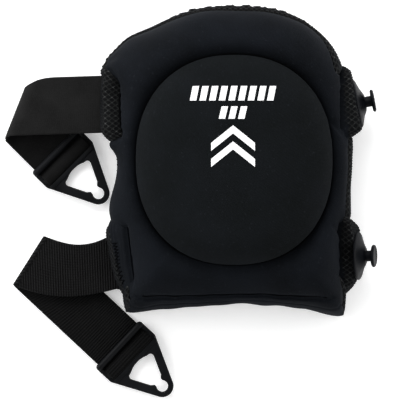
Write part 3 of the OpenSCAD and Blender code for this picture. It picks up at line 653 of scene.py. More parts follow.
def skin(name, P, material, W=None, closed=False):
    """A mesh over a grid of points, with the grid's weave. A closed grid is welded where it meets itself."""
    weave = None if W is None else W.reshape(-1, W.shape[-1])
    obj = build(name, off_ground(P).reshape(-1, 3), grid_faces(*P.shape[:2], closed), material, weave)
    return weld(obj) if closed else obj


def rolled(last, inner, count, push):
    """Rows of points that roll over from one row to another, with how far their middle is pushed out."""
    phi = np.linspace(0, np.pi, count)[1:-1, None, None]
    c = (1 - np.cos(phi)) / 2
    return last * (1 - c) + inner * c + push * np.sin(phi)


def make_cap():
    A = np.arange(0, 360, 1.5)
    s = np.linspace(0, 1, 46)[:, None]
    top = 1 - (1 - s) ** 2
    U = np.vstack([top, [[0.985], [0.93], [0.6], [0.0]]]) * np.ones_like(A)
    OUT = np.vstack([cap_out(U[:46], np.broadcast_to(A, (46, len(A)))), np.full((4, len(A)), -7.0)])
    return skin("cap_cushion", pad_rows(U, OUT, A), CAP_JERSEY, closed=True)


def seam_u(a):
    """Where the rim's jersey ends: at the mesh side all round, and under the hem at the shin end."""
    a = np.mod(a, 360)
    stud_side = smooth((a - 306) / 8) + smooth((62 - a) / 22)
    low_left = smooth((a - 203) / 8) * smooth((240 - a) / 8)
    under_hem = smooth((a - 233) / 5) * smooth((307 - a) / 5)
    end = 1.80 - 0.34 * stud_side - 0.16 * low_left + 0.1 * window(a, (174, 203), 8) - 0.2 * under_hem
    for name, tab in TABS.items():
        share = window(a, tab["slit"], 4.0)
        end = end + share * (np.interp(a, *TAB_TOPS[name]) + 0.05 - end)
    return end


def make_rim():
    A = np.arange(0, 360, 1.0)
    s = np.linspace(0, 1, 64)[:, None]
    end = seam_u(A)[None, :]
    U = 1 + (end - 1) * (0.35 * s**2 + 0.65 * s)
    OUT = rim_out(U, A[None, :]) - 1.6 * np.exp(-(((1 - s) * 60 * (end - 1)) / 1.6) ** 2)
    under_u = np.vstack([end, 0.6 * end + 0.4 * 1.1, np.full_like(end, 1.1), np.full_like(end, 1.02)])
    under_out = np.array([[-5.5], [-6.0], [-6.0], [-6.0]]) * np.ones_like(end)
    U = np.vstack([U, under_u, U[:1]])
    OUT = np.vstack([OUT, under_out, OUT[:1]])
    return skin("rim_bolster", pad_rows(U, OUT, A), RIM_JERSEY, closed=True)


EDGE_U = 1.955
HEM_FOLD = 1.5


def edge_depth(a):
    return 9.5 - 5.5 * smooth(skirt(a) / 0.5)


def depth(u, a):
    deep = edge_depth(a)
    return LINER_DEPTH - (LINER_DEPTH - deep) * smooth((u - 1.55) / (EDGE_U - 1.55))


def diamonds(weave, pitch):
    p = np.pi * weave[..., 0] / pitch[0]
    q = np.pi * weave[..., 1] / pitch[1]
    return np.abs(np.sin(p + q) * np.sin(p - q))


def relief(P, weave, pitch, amount):
    """P pushed out along its own normals by the mesh's yarns."""
    du = np.gradient(P, axis=0)
    dv = np.gradient(P, axis=1)
    n = np.cross(du, dv)
    n /= np.linalg.norm(n, axis=2)[..., None] + 1e-9
    return P + n * (amount * (1 - diamonds(weave, pitch)) - amount)[..., None]


def make_side():
    """The mesh side, from the jersey's edge round the bottom to the liner, over every direction but the hem's."""
    A = np.linspace(305, 595, 1080)
    s = np.linspace(0, 1, 30)[:, None]
    start = seam_u(A)[None, :] - 0.012
    U = start + (EDGE_U - start) * s
    arch = window(A % 360, (64, 112), 18)[None, :]
    bunched = 1 + 0.22 * ripples(shell(2, A % 360)[..., :2], 41, 10, 5, 10)[None, :]
    waist = 1 - 0.85 * window(A % 360, (172, 204), 10)[None, :]
    behind = sum(window(A % 360, (t["span"][0] + 2, t["span"][1] - 2), 4) for t in TABS.values())[None, :]
    lift = waist * smooth(s / 0.12) - 4.0 * behind - 0.9 * (1 - smooth(s / 0.06))
    lift = lift + arch * 1.7 * bunched * smooth((s - 0.15) / 0.4)
    outer = rim_out(U, A[None, :] % 360) + lift
    P = pad_rows(U, outer, A)
    last = P[-1]
    inner = pad(np.full_like(A, EDGE_U), A, -depth(EDGE_U, A))
    dip = np.clip(np.minimum(last[:, 2], inner[:, 2]) - 0.25, 0, 4.0)
    P = np.concatenate([P, rolled(last, inner, 14, dip[:, None] * [0, 0, -1]), inner[None]])
    W = lengths(P)[..., [1, 0, 2]]
    return skin("side_mesh", relief(P, W, TAB_PITCH, -0.8), TAB_MESH, W)


def make_liner():
    A = np.arange(0, 360, 2.0)
    s = np.linspace(0, 1, 50)[:, None]
    U = EDGE_U * (1 - s) * np.ones_like(A)
    OUT = -depth(U, A[None, :]) - 0.15
    P = pad_rows(U, OUT, A)
    W = np.stack([P[..., 0], P[..., 1] + 0.6 * P[..., 2], np.zeros(P.shape[:2])], -1)
    return skin("liner", P, LINER_MESH, W, True)


def make_hem():
    """The folded flap along the shin end."""
    A = np.linspace(HEM_CORNERS[0] - 0.5, HEM_CORNERS[1] + 0.5, 281)
    fold = HEM_FOLD + 0.004 * ripples(A, 31, 6, 8, 25)
    s = np.linspace(0, 1, 60)[:, None]
    U = fold[None, :] + (1.998 - fold[None, :]) * s
    step = 1.1 * smooth(s / 0.05) - 1.4 * (1 - smooth(s / 0.03))
    drape = 0.25 * ripples(A, 32, 8, 9, 26)[None, :] * s
    outer = rim_out(U, A[None, :]) + step + drape - 0.4 * np.exp(-(((s - 0.22) / 0.03) ** 2))
    P = pad_rows(U, outer, A)
    inner = pad(np.full_like(A, 1.97), A, -edge_depth(A) + 0.2)
    away = P[-1] - [*CAP_MID, 0]
    away[:, 2] = 0
    away *= 0.4 / np.linalg.norm(away, axis=1)[:, None]
    back = pad(np.full_like(A, 1.82), A, np.full_like(A, -5.0))
    return skin("hem", np.concatenate([P, rolled(P[-1], inner, 8, away), inner[None], back[None], P[:1]]), RIM_JERSEY)


STUD_SEATS = {
    "upper_right_tab": (np.array([89.4, 40.4, 20.0]), (11.0, 4.0)),
    "lower_right_tab": (np.array([90.0, -65.6, 20.0]), (0.0, 14.0)),
}


def heading(turn):
    """The direction of a stud's axis, from its turn and its rise."""
    return np.array([cosd(turn[0]) * cosd(turn[1]), sind(turn[0]) * cosd(turn[1]), sind(turn[1])])


def outside(P, line):
    """Distance in plan of points from a line, out from the cap's middle."""
    p, q = (np.array(v, float) for v in line)
    across = turned(unit(q - p))
    across = across if (CAP_MID - p) @ across < 0 else -across
    return (P[..., :2] - p) @ across


def make_tab(name):
    """A tab's cover: it swells out of the slit, thins to its ends, and lies flat under its stud if it has one."""
    tab = TABS[name]
    a0, a1 = tab["span"]
    n, m = 112, 78
    A = np.linspace(a0 - 1.2, a1 + 1.2, n)[None, :]
    v = np.linspace(0, 1, m)[:, None]
    top = np.interp(A, *TAB_TOPS[name]) + 0.025
    U = top + (1.972 - top) * v
    N = shell_normal(U, A)
    s = (A - A[0, 0]) / (A[0, -1] - A[0, 0])
    if tab["soft_end"] == 1:
        s = 1 - s
    if tab["plain"]:
        far_end = np.maximum(1e-9, smooth((1 - s) / 0.3)) ** 0.5
    else:
        far_end = np.sqrt(1 - (1 - np.clip((1 - s) / 0.18, 0, 1)) ** 2)
    ends = np.maximum(1e-9, smooth(s / (0.26 if tab["lead"] < 0.5 else 0.36))) ** tab["lead"] * far_end
    rise = np.maximum(1e-9, smooth(v / tab["ease"])) ** 0.6
    hill = ends * rise * (1 - 0.22 * smooth((v - 0.75) / 0.25))
    over = puffs(U, A, SHOULDER)
    over = (over + 0.7 * smooth(over)) * rise * smooth((A - a0 + 1.2) / 3.5)
    swell = np.maximum(tab["thick"] * hill, over)
    sunk = (5.8 - 7 * tab["ease"]) * (1 - smooth(v / 0.07)) + 1.6 * (1 - ends)
    P0 = pad_rows(U, rim_puff(U), A[0])
    P = pad_rows(U, rim_puff(U) - sunk + swell, A[0])
    P += 0.35 * ripples(P0, hash_of(name), 8, 12, 30)[..., None] * N * hill[..., None]
    if name in STUD_SEATS:
        at, turn = STUD_SEATS[name]
        out = heading(turn)
        P = P - np.maximum(0, (P - at) @ out)[..., None] * out
    W = lengths(P)[..., [1, 0, 2]]
    bare = 1 - smooth(outside(P, tab["plain"])[..., None] + 0.5) if tab["plain"] else np.zeros_like(W[..., :1])
    ridges = np.sin(2 * np.pi * (W[..., 0] + 0.8 * ripples(W[..., :2], hash_of(name) + 1, 8, 12, 40)) / 3.4)
    P = P + (0.3 * bare[..., 0] * ridges * hill)[..., None] * N
    P = bare * P + (1 - bare) * relief(P, W, TAB_PITCH, -0.9)
    if tab["zigzag"]:
        sewn(name + "_zigzag", zigzag_on(P + 0.12 * N, *tab["zigzag"]), 0.34, 6)
    W = np.concatenate([W, bare], -1)
    back = pad_rows(U[[-1, 0]], np.full((2, n), -3.0), A[0])
    P = np.concatenate([P, back, P[:1]])
    return skin(name + "_cover", P, TAB_MESH, np.concatenate([W, W[-1:], W[:1], W[:1]]))


def zigzag_on(P, v_range, s_range, count):
    """Points of a zigzag sewn over a grid of points, between two shares of its rows."""
    rows, cols = P.shape[:2]
    t = np.linspace(0, 1, count * 6 + 1)
    swing = np.abs((t * count) % 1 * 2 - 1)
    r = (v_range[0] + (v_range[1] - v_range[0]) * swing) * (rows - 1)
    c = (s_range[0] + (s_range[1] - s_range[0]) * t) * (cols - 1)
    i, j = np.minimum(r.astype(int), rows - 2), np.minimum(c.astype(int), cols - 2)
    fr, fc = (r - i)[:, None], (c - j)[:, None]
    near = (1 - fc) * P[i, j] + fc * P[i, j + 1]
    far = (1 - fc) * P[i + 1, j] + fc * P[i + 1, j + 1]
    return (1 - fr) * near + fr * far


def tube(points, radius, sides=8, closed=False):
    """A round strand through points in mm, with a radius that may vary."""
    P = np.asarray(points, float)
    n = len(P)
    ahead = np.roll(P, -1, 0) - np.roll(P, 1, 0) if closed else np.gradient(P, axis=0)
    ahead /= np.linalg.norm(ahead, axis=1)[:, None]
    side = np.cross(ahead, [0.0, 0.0, 1.0])
    side[np.linalg.norm(side, axis=1) < 1e-3] = [1, 0, 0]
    side /= np.linalg.norm(side, axis=1)[:, None]
    other = np.cross(side, ahead)
    r = np.broadcast_to(radius, n)[:, None, None]
    phi = np.linspace(0, 2 * np.pi, sides, endpoint=False)[None, :, None]
    ring = P[:, None] + r * (np.cos(phi) * side[:, None] + np.sin(phi) * other[:, None])
    faces = []
    for i in range(n if closed else n - 1):
        k = (i + 1) % n
        for j in range(sides):
            h = (j + 1) % sides
            faces.append((i * sides + j, i * sides + h, k * sides + h, k * sides + j))
    if not closed:
        faces += [tuple(range(sides))[::-1], tuple((n - 1) * sides + j for j in range(sides))]
    return ring.reshape(-1, 3), faces, None


def in_pad(obj, slot_name, *stands_for, fill=None):
    """A piece that rides with the pad, and the CAD nodes that it stands for. fill, its fill if it is padded, is not
    used.
    """
    if stands_for:
        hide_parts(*stands_for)
    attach(obj, "pad")


def sewn(name, line, radius, sides=8, closed=False, stands_for=()):
    """A thread sewn in the pad along a line; where it lies in a crease, its near-black colour is painted shade."""
    in_pad(build(name, *tube(line, radius, sides, closed)[:2], THREAD_AND_PAINTED_SHADE), "thread", *stands_for)


# ---------------------------------------------------------------- straps

WEB_W, WEB_T = 40.0, 1.6
TAIL_Z, RUN_Z = 1.0, 2.9
LOOP_R = {"upper": 7.6, "lower": 2.0}
LEG_Z = {"upper": 18.1, "lower": 6.9}
UPPER_ROOT = np.array([-88.6, 40.2])
LEG_DIR = {"upper": unit([-1, -0.03]), "lower": unit([-0.93, 0.365])}
BAR = {"upper": np.array([-120.0, 7.0]), "lower": np.array([-76.0, -129.0])}
RUN_DIR = {"upper": unit([0.71, -0.704]), "lower": unit([0.73, -0.683])}
FOLD_AT = {"upper": UPPER_ROOT, "lower": np.array([-141.5, -68.3])}
ROOT_TOP, ROOT_LOW = np.array([-85.6, -53.0]), np.array([-78.2, -89.0])
ROOT_Z = 9.0
EXIT_DIR = unit([-0.97, -0.25])
FLAT_FROM = {"upper": 22.4, "lower": 77.0}
ENTRY = 12.0


class Fold:
    """The line that a strap turns over on, as in the CAD."""

    def __init__(self, which):
        a, b = LEG_DIR[which], RUN_DIR[which]
        pa, pb, self.r = FOLD_AT[which], BAR[which], LOOP_R[which]
        self.along = unit(a + b)
        m = turned(self.along)
        self.out = m if a @ m > 0 else -m
        self.slant = (a @ self.along) / (a @ self.out)
        self.n0 = ((pb - pa) @ self.along / self.slant + (pa + pb) @ self.out - np.pi * self.r) / 2
        self.lam0 = pa @ self.along + (self.n0 - pa @ self.out) * self.slant
        self.top_z = LEG_Z[which]
        self.reach = WEB_W / 2 * math.sqrt(1 + self.slant**2)

    def point(self, s, side):
        bend = s / self.r
        along = self.lam0 + s * self.slant + side * self.reach
        p = self.out * (self.n0 + self.r * math.sin(bend)) + self.along * along
        return np.array([p[0], p[1], self.top_z - self.r + self.r * math.cos(bend)])

    def normal(self, s):
        bend = s / self.r
        return np.array([*(self.out * math.sin(bend)), math.cos(bend)])


FOLDS = {w: Fold(w) for w in ("upper", "lower")}


def at_height(p, z):
    return np.array([p[0], p[1], z])


def rows_between(first, last, count, skip_first=False):
    """Rows of (left, right, normal) blended from one to another."""
    rows = []
    for t in np.linspace(0, 1, count)[1 if skip_first else 0:]:
        rows.append(tuple((1 - t) * np.asarray(a) + t * np.asarray(b) for a, b in zip(first, last)))
    return rows


def ribbon(rows, phase, front=0.0, capped=False):
    """Webbing through rows of (left, right, normal): points, faces and weave. phase gives the ribs' place from (points,
    distance along). front is 1 if the normals point out of the webbing's reverse side. capped closes its first row."""
    across = np.concatenate([np.linspace(-1, -0.93, 4), np.linspace(-0.93, 0.93, 19)[1:-1], np.linspace(0.93, 1, 4)])
    half = WEB_T / 2
    edge = np.sqrt(np.maximum(0, 1 - np.clip((np.abs(across) * 20 - 19.2) / 0.8, 0, 1) ** 2))
    groove = 1 - 0.16 * np.exp(-(((np.abs(across) * 20 - 17.6) / 0.5) ** 2))
    L = np.array([r[0] for r in rows])
    R = np.array([r[1] for r in rows])
    N = np.array([unit(r[2]) for r in rows])
    mid = (L + R) / 2
    along = np.concatenate([[0], np.cumsum(np.linalg.norm(np.diff(mid, axis=0), axis=1))])
    ring_p, ring_w = [], []
    t = (1 - across) / 2
    k = len(across)
    for i in range(len(rows)):
        base = L[i] * (1 - t)[:, None] + R[i] * t[:, None]
        off = N[i] * (half * edge * groove)[:, None]
        ring_p.append(np.vstack([base + off, (base - off)[::-1][1:-1]]))
        # The fourth weave value marks the reverse side, which the webbing's material paints darker as shade.
        w = np.stack([np.full(k, along[i]), 20 * across, phase(base, along[i]), np.full(k, front)], -1)
        back = w[::-1][1:-1].copy()
        back[:, 3] = 1 - front
        ring_w.append(np.vstack([w, back]))
    n = 2 * k - 2
    faces = grid_faces(len(rows), n, True)
    for j in range(k - 1 if capped else 0):
        quad = dict.fromkeys((j, j + 1, (n - j - 1) % n if j + 1 < k - 1 else j + 1, (n - j) % n))
        if len(quad) > 2:
            faces.append(tuple(quad)[::-1])
    return np.vstack(ring_p), faces, np.vstack(ring_w)


def flat_row(p, side_dir, z, up=1.0):
    side = side_dir * WEB_W / 2
    return at_height(p + side, z), at_height(p - side, z), np.array([0, 0, up])


def fold_rows(which, count):
    f = FOLDS[which]
    return [(f.point(s, 1), f.point(s, -1), f.normal(s)) for s in np.pi * f.r * np.arange(count) / (count - 1)]


def run_row(which, back):
    """The strap's flat run, back mm before the clip's outer bar, its sides matched to the fold's."""
    d = RUN_DIR[which]
    side = turned(d) if turned(d) @ FOLDS[which].along > 0 else -turned(d)
    return flat_row(BAR[which] - back * d, side, RUN_Z, -1.0)


def upper_phase(base, along):
    return np.full(len(base), along)


def lower_leg_phase(base, along):
    return -base[:, 0] - 0.04 * base[:, 1]


def lower_run_phase(base, along):
    d = RUN_DIR["lower"]
    rel = base[:, :2] - BAR["lower"]
    p, q = rel @ d, rel @ turned(d)
    lean = -0.36 * smooth((-p - ENTRY) / 70)
    return p + lean * q


PHASE = {"upper": upper_phase, "lower": lower_run_phase}


def finish_web(which, kind, part, *stands_for):
    """A piece of webbing, with the parts of the CAD's strap that it stands for."""
    obj = weld(build(f"{which}_{kind}_webbing", part[0], part[1], WEB[which], part[2]), 1e-7)
    if stands_for:
        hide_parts(*(f"{which}_strap_{name}" for name in stands_for))
    return obj


def lower_row(t):
    f = FOLDS["lower"]
    ends = sorted([(f.point(0, 1)[:2], 1), (f.point(0, -1)[:2], -1)], key=lambda e: -e[0][1])
    (top_end, top_side), (low_end, _) = ends
    z = ROOT_Z + (LEG_Z["lower"] - ROOT_Z) * smooth((t - 0.35) / 0.65)

    def edge(a, b, away, pull):
        reach = np.linalg.norm(b - a)
        return hermite(a, away * reach * pull, b, LEG_DIR["lower"] * reach * pull, t)

    top = at_height(edge(ROOT_TOP, top_end, unit([-0.9, -0.44]), 1.2), z)
    low = at_height(edge(ROOT_LOW, low_end, EXIT_DIR, 1.15), z)
    return (top, low, np.array([0, 0, 1.0])) if top_side == 1 else (low, top, np.array([0, 0, 1.0]))


def upper_strap():
    """The upper strap from its root to its flat run."""
    f = FOLDS["upper"]
    d = LEG_DIR["upper"]
    side_dir = turned(d) if turned(d) @ f.along > 0 else -turned(d)
    start = flat_row(UPPER_ROOT - 5 * d, side_dir, LEG_Z["upper"])
    near = flat_row(UPPER_ROOT + 6 * d, side_dir, LEG_Z["upper"])
    fold = fold_rows("upper", 37)
    rows = rows_between(start, near, 23) + rows_between(near, fold[0], 30, True) + fold[1:]
    rows += rows_between(fold[-1], run_row("upper", FLAT_FROM["upper"]), 24, True)
    corner = max((f.point(1.3 * f.r, side) for side in (1, -1)), key=lambda q: q[1])
    for i, (a, b, n) in enumerate(rows):
        draw = [5.2 * math.exp(-((np.linalg.norm(q - corner) / 8.5) ** 2)) for q in (a, b)]
        rows[i] = (a + draw[0] * unit(b - a), b + draw[1] * unit(a - b), n)
    return ribbon(rows, upper_phase)


def lower_strap():
    """The lower strap from its root to its flat run."""
    inward = -unit([EXIT_DIR[0], 0.15])
    first = lower_row(0)
    buried = tuple([at_height(first[i][:2] + inward * 5, ROOT_Z) for i in (0, 1)] + [first[2]])
    rows = rows_between(buried, first, 6) + [lower_row(t) for t in np.linspace(0, 1, 66)[1:]]
    fold = fold_rows("lower", 17)
    rest = fold + rows_between(fold[-1], run_row("lower", FLAT_FROM["lower"]), 8, True)
    return join([ribbon(rows, lower_leg_phase), ribbon(rest, lower_run_phase)])


STRAPS = {"upper": upper_strap, "lower": lower_strap}


def make_strap(which):
    return finish_web(which, "strap", STRAPS[which](), "root", "leg", "loop")


def make_run(which):
    rows = rows_between(run_row(which, FLAT_FROM[which]), run_row(which, ENTRY), 9 if which == "upper" else 40)
    return finish_web(which, "run", ribbon(rows, PHASE[which]), "run")


def layer(which, start, end, z, count):
    """Rows of a flat layer of webbing between two distances behind the clip's outer bar."""
    ends = []
    for back in (start, end):
        a, b, _ = run_row(which, back)
        ends.append((at_height(a[:2], z), at_height(b[:2], z), np.array([0, 0, 1.0])))
    return rows_between(*ends, count)


def make_entry(which):
    """The two layers of webbing just behind the clip."""
    top = ribbon(layer(which, ENTRY, 0, RUN_Z, 17), PHASE[which], 1.0)
    low = ribbon(layer(which, ENTRY, 0, TAIL_Z, 17), PHASE[which])
    return finish_web(which, "entry", join([top, low]))


TAIL_END = 31.6


def make_tail(which):
    part = ribbon(layer(which, TAIL_END, ENTRY, TAIL_Z, 20), PHASE[which], 0.0, True)
    return finish_web(which, "tail", part, "tail")


WRAP_LINE = np.array([
    [0, 2.9], [3, 2.9], [6.5, 6.9], [7.6, 7.35], [10.8, 7.35], [12.5, 6.6], [13.1, 5.2], [13.1, 2.8], [12.3, 1.4],
    [10.6, 1.0], [0, 1.0],
])


def rounded(line, step=0.6, soft=0.9):
    """A polyline resampled and softened, with its ends kept."""
    seg = np.concatenate([[0], np.cumsum(np.linalg.norm(np.diff(line, axis=0), axis=1))])
    s = np.linspace(0, seg[-1], int(seg[-1] / step) + 1)
    p = np.stack([np.interp(s, seg, line[:, i]) for i in range(line.shape[1])], -1)
    for _ in range(int(soft / step * 4) + 1):
        p[1:-1] = 0.25 * p[:-2] + 0.5 * p[1:-1] + 0.25 * p[2:]
    return p


def make_wrap(which):
    p = rounded(WRAP_LINE)
    d3 = np.array([*RUN_DIR[which], 0.0])
    tangent = np.gradient(p, axis=0)
    rows = []
    a, b, _ = run_row(which, 0)
    for (x, z), (tx, tz) in zip(p, tangent):
        n = unit(-tz * d3 + tx * np.array([0, 0, 1.0]))
        move = d3 * x + np.array([0, 0, z - RUN_Z])
        rows.append((a + move, b + move, n))
    return finish_web(which, "wrap", ribbon(rows, upper_phase, 1.0), "wrap")


# ---------------------------------------------------------------- clips and studs

CLIP_W, CLIP_T, KEYHOLE_X, KEYHOLE_R, TIP_R = 45.5, 3.2, 41.0, 4.0, 7.9
SLOT_HALF, SLOT_END, PLATE_Z, BAR_R, BAR_Z = 20.1, 15.4, 2.2, 2.4, 6.4


def arc(x, y, r, a0, a1, n):
    t = np.radians(np.linspace(a0, a1, n))
    return [(x + r * math.cos(v), y + r * math.sin(v)) for v in t]


def plate(name, loops, z0, z1, bevel):
    """A flat plate with holes from outlines in mm, its edges rounded over, as a mesh."""
    curve = bpy.data.curves.new(name + "_outline", "CURVE")
    curve.dimensions = "2D"
    curve.fill_mode = "BOTH"
    curve.extrude = ((z1 - z0) / 2 - bevel) * MM
    curve.bevel_depth = bevel * MM
    curve.bevel_resolution = 3
    curve.offset = -bevel * MM
    for loop in loops:
        s = curve.splines.new("POLY")
        s.points.add(len(loop) - 1)
        for p, (x, y) in zip(s.points, loop):
            p.co = (x * MM, y * MM, 0, 1)
        s.use_cyclic_u = True
    temp = placed(bpy.data.objects.new(name + "_temp", curve))
    bpy.context.view_layer.update()
    mesh = bpy.data.meshes.new_from_object(temp.evaluated_get(bpy.context.evaluated_depsgraph_get()))
    bpy.data.objects.remove(temp)
    bpy.data.curves.remove(curve)
    points = np.array([v.co for v in mesh.vertices]) / MM + [0, 0, (z0 + z1) / 2]
    faces = [tuple(p.vertices) for p in mesh.polygons]
    bpy.data.meshes.remove(mesh)
    return points, faces, None


def rounded_box(low, high, r, steps=3):
    """A block with rounded edges between two corners in mm, swept along its longest side."""
    low, high = np.array(low, float), np.array(high, float)
    h = (high - low) / 2
    k = int(h.argmax())
    i, j = [n for n in range(3) if n != k]
    corners = ((1, 1, 0), (-1, 1, 90), (-1, -1, 180), (1, -1, 270))
    turns = [(sx, sy, a) for sx, sy, a0 in corners for a in np.linspace(a0, a0 + 90, steps + 1)]

    def ring(side, a):
        around = r * sind(a)
        pts = np.zeros((len(turns), 3))
        pts[:, i] = [sx * (h[i] - r) + around * cosd(b) for sx, _, b in turns]
        pts[:, j] = [sy * (h[j] - r) + around * sind(b) for _, sy, b in turns]
        pts[:, k] = side * (h[k] - r * (1 - cosd(a)))
        return pts

    bend = np.linspace(0, 90, steps + 1)
    pts = np.array([ring(-1, a) for a in bend] + [ring(1, a) for a in bend[::-1]])
    rows, n = pts.shape[:2]
    faces = grid_faces(rows, n, True) + [tuple(range(n)), tuple((rows - 1) * n + q for q in range(n))[::-1]]
    return pts.reshape(-1, 3) + (low + high) / 2, faces, None


def mirrored(points):
    return [(x, -y) for x, y in points[::-1]]


def clip_outline():
    ax, ay, ar = 12.0, CLIP_W / 2 - 3, 3.0
    d = np.array([KEYHOLE_X - ax, -ay])
    swing = math.degrees(math.acos((ar - TIP_R) / np.linalg.norm(d)))
    at = math.degrees(math.atan2(d[1], d[0])) + swing
    upper = [(-0.3, CLIP_W / 2)] + arc(ax, ay, ar, 90, at, 9) + arc(KEYHOLE_X, 0, TIP_R, at, 0, 22)[:-1]
    half, corner = SLOT_HALF - 0.5, 1.5
    slot = arc(SLOT_END - corner, half - corner, corner, 0, 90, 6) + [(-0.3, half)]
    return upper + [(KEYHOLE_X + TIP_R, 0)] + mirrored(upper) + mirrored(slot) + slot


EYE_BOW_R = 18.0


def eye_outline():
    r, x0, half, throat = 2.5, 21.5, 11.5, 3.4
    d = np.array([KEYHOLE_X - 2 - x0, throat - half])
    normal = math.degrees(math.atan2(d[1], d[0])) + 90
    bow = math.degrees(math.asin((half - r) / EYE_BOW_R))
    back = arc(x0 - r - 2.3 + EYE_BOW_R, 0, EYE_BOW_R, 180, 180 - bow, 9)[:-1]
    upper = back + arc(x0 - 0.3, half - r, r, 180 - bow, normal, 9)
    neck = [(KEYHOLE_X + x, throat + y) for x, y in ((-6.2, 1.75), (-5.2, 0.5), (-4.4, -0.35), (-3.6, -0.3))]
    start = math.degrees(math.asin((throat - 0.2) / KEYHOLE_R))
    hole = arc(KEYHOLE_X, 0, KEYHOLE_R, 180 - start, 0, 14)[:-1]
    top = upper + neck + hole
    return top + [(KEYHOLE_X + KEYHOLE_R, 0)] + mirrored(top[1:])


def in_frame(part, bar, d):
    p = np.asarray(part[0], float)
    flat = bar + p[:, :1] * d + p[:, 1:2] * turned(d)
    return np.column_stack([flat, p[:, 2]]), part[1], part[2]


def rod(half, z, radius):
    """The clip's outer bar: a round rod a little waisted, with domed ends."""
    end = half - radius * (1 - np.cos(np.linspace(np.pi / 2, 0.05, 7)))
    y = np.concatenate([-end[::-1], np.linspace(radius - half, half - radius, 30)[1:-1], end])
    r = radius * np.sqrt(np.clip(1 - np.clip((np.abs(y) - (half - radius)) / radius, 0, 1) ** 2, 0.01, 1))
    r = r * (1 - 0.05 * smooth(half - 2.6 - np.abs(y)))
    return tube(np.stack([np.zeros_like(y), y, np.full_like(y, z)], -1), r, 20)


def make_clip(which):
    bar, d = BAR[which], RUN_DIR[which]
    half = SLOT_HALF
    parts = [
        plate(which, [clip_outline(), eye_outline()], PLATE_Z, PLATE_Z + CLIP_T, 0.75),
        rod(CLIP_W / 2, BAR_Z, BAR_R),
        rounded_box((7.4, -half - 1, 3.2), (11, half + 1, 6.2), 0.9),
        rounded_box((13.6, -half - 0.6, 2.7), (16.8, half + 0.6, 6.0), 0.5),
        rounded_box((-0.7, -CLIP_W / 2, 2.4), (4.8, -half, 6.2), 0.7),
        rounded_box((-0.7, half, 2.4), (4.8, CLIP_W / 2, 6.2), 0.7),
    ]
    points, faces, _ = join([in_frame(p, bar, d) for p in parts])
    obj = build(which + "_clip_body", points, faces, PLASTIC)
    obj.data.set_sharp_from_angle(angle=math.radians(40))
    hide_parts(which + "_clip")
    return obj


def lathe(profile, steps=56):
    """Points and faces of a profile of (radius, height) turned about the Z axis."""
    pr = np.array(profile, float)
    t = np.linspace(0, 2 * np.pi, steps, endpoint=False)
    pts = np.stack([pr[:, :1] * np.cos(t), pr[:, :1] * np.sin(t), np.repeat(pr[:, 1:], steps, 1)], -1)
    return pts.reshape(-1, 3), grid_faces(len(pr), steps, True), None


def in_stud(part, at, turn):
    p = np.asarray(part[0], float)
    ahead = heading(turn)
    side = np.array([-sind(turn[0]), cosd(turn[0]), 0])
    return at + p[:, 2:] * ahead + p[:, 1:2] * side + p[:, :1] * np.cross(side, ahead), part[1], part[2]


# Profiles of a stud's pieces: (radius, distance out of the seat)
STUD_PROFILES = {
    "foot": [(1.7, 0.1), (16.2, 0.1), (17, 0.5), (17, 1.3), (16.2, 1.95), (9.5, 4.3), (6.0, 6.2), (5.2, 6.6),
             (1.7, 6.6)],
    "stem": [(3.75, 6.5), (3.75, 10.4), (3.9, 10.9)],
    "head": [(1.0, 10.7), (7.2, 10.7), (8.0, 11.3), (8.0, 12.3), (7.5, 12.95), (6.7, 13.25), (5.8, 13.15), (4.6, 12.75),
             (2.4, 12.45), (0.05, 12.4)],
    "backing": [(1.7, -4.0), (8.7, -4.0), (9.3, -3.6), (9.3, -2.9), (8.7, -2.5), (1.7, -2.5)],
    "pin": [(0.05, -4.95), (2.6, -4.95), (3.3, -4.6), (3.3, -4.2), (1.5, -4.1), (1.5, 11.4), (0.05, 11.5)],
}


def make_stud(which):
    at, turn = STUD_SEATS[which + "_right_tab"]

    def turned_part(profile, step=0.35, steps=56):
        return in_stud(lathe(rounded(np.array(STUD_PROFILES[profile]), step, 0.5), steps), at, turn)

    for name, part, shape, slot_name in (
        ("foot", "base", turned_part("foot"), "stud_plastic"),
        ("knob", "button", join([turned_part("stem"), turned_part("head")]), "stud_plastic"),
        ("backing", "back_plate", turned_part("backing"), "stud_plastic"),
        ("pin", "rivet", turned_part("pin", 0.25, 32), "rivet_steel"),
    ):
        obj = build(f"{which}_stud_{name}", *shape[:2], STEEL if part == "rivet" else STUD_PLASTIC)
        obj.data.set_sharp_from_angle(angle=math.radians(50))
        in_pad(weld(obj, 1e-7), slot_name, f"{which}_stud_{part}")


# ---------------------------------------------------------------- print


def on_cap(xy, lift):
    """The points of the cap's surface seen from above at places in plan."""
    want = guess = np.asarray(xy, float)
    for _ in range(4):
        d = guess - CAP_MID
        a = np.degrees(np.arctan2(d[..., 1], d[..., 0]))
        u = np.hypot(d[..., 0], d[..., 1]) / cap_radius(a)
        p = shell(u, a) + (cap_out(u, a) + lift)[..., None] * shell_normal(u, a)
        guess = guess + want - p[..., :2]
    return p


def ink_patch(corners, n, m):
    """A patch of ink between four corners in plan: two of its lower edge and two of its upper edge."""
    a, b, c, d = (np.array(p, float) for p in corners)
    s, t = (g[..., None] for g in np.meshgrid(np.linspace(0, 1, n), np.linspace(0, 1, m)))
    xy = (1 - t) * ((1 - s) * a + s * b) + t * ((1 - s) * c + s * d)
    return on_cap(xy, 0.22).reshape(-1, 3), grid_faces(m, n, False), None


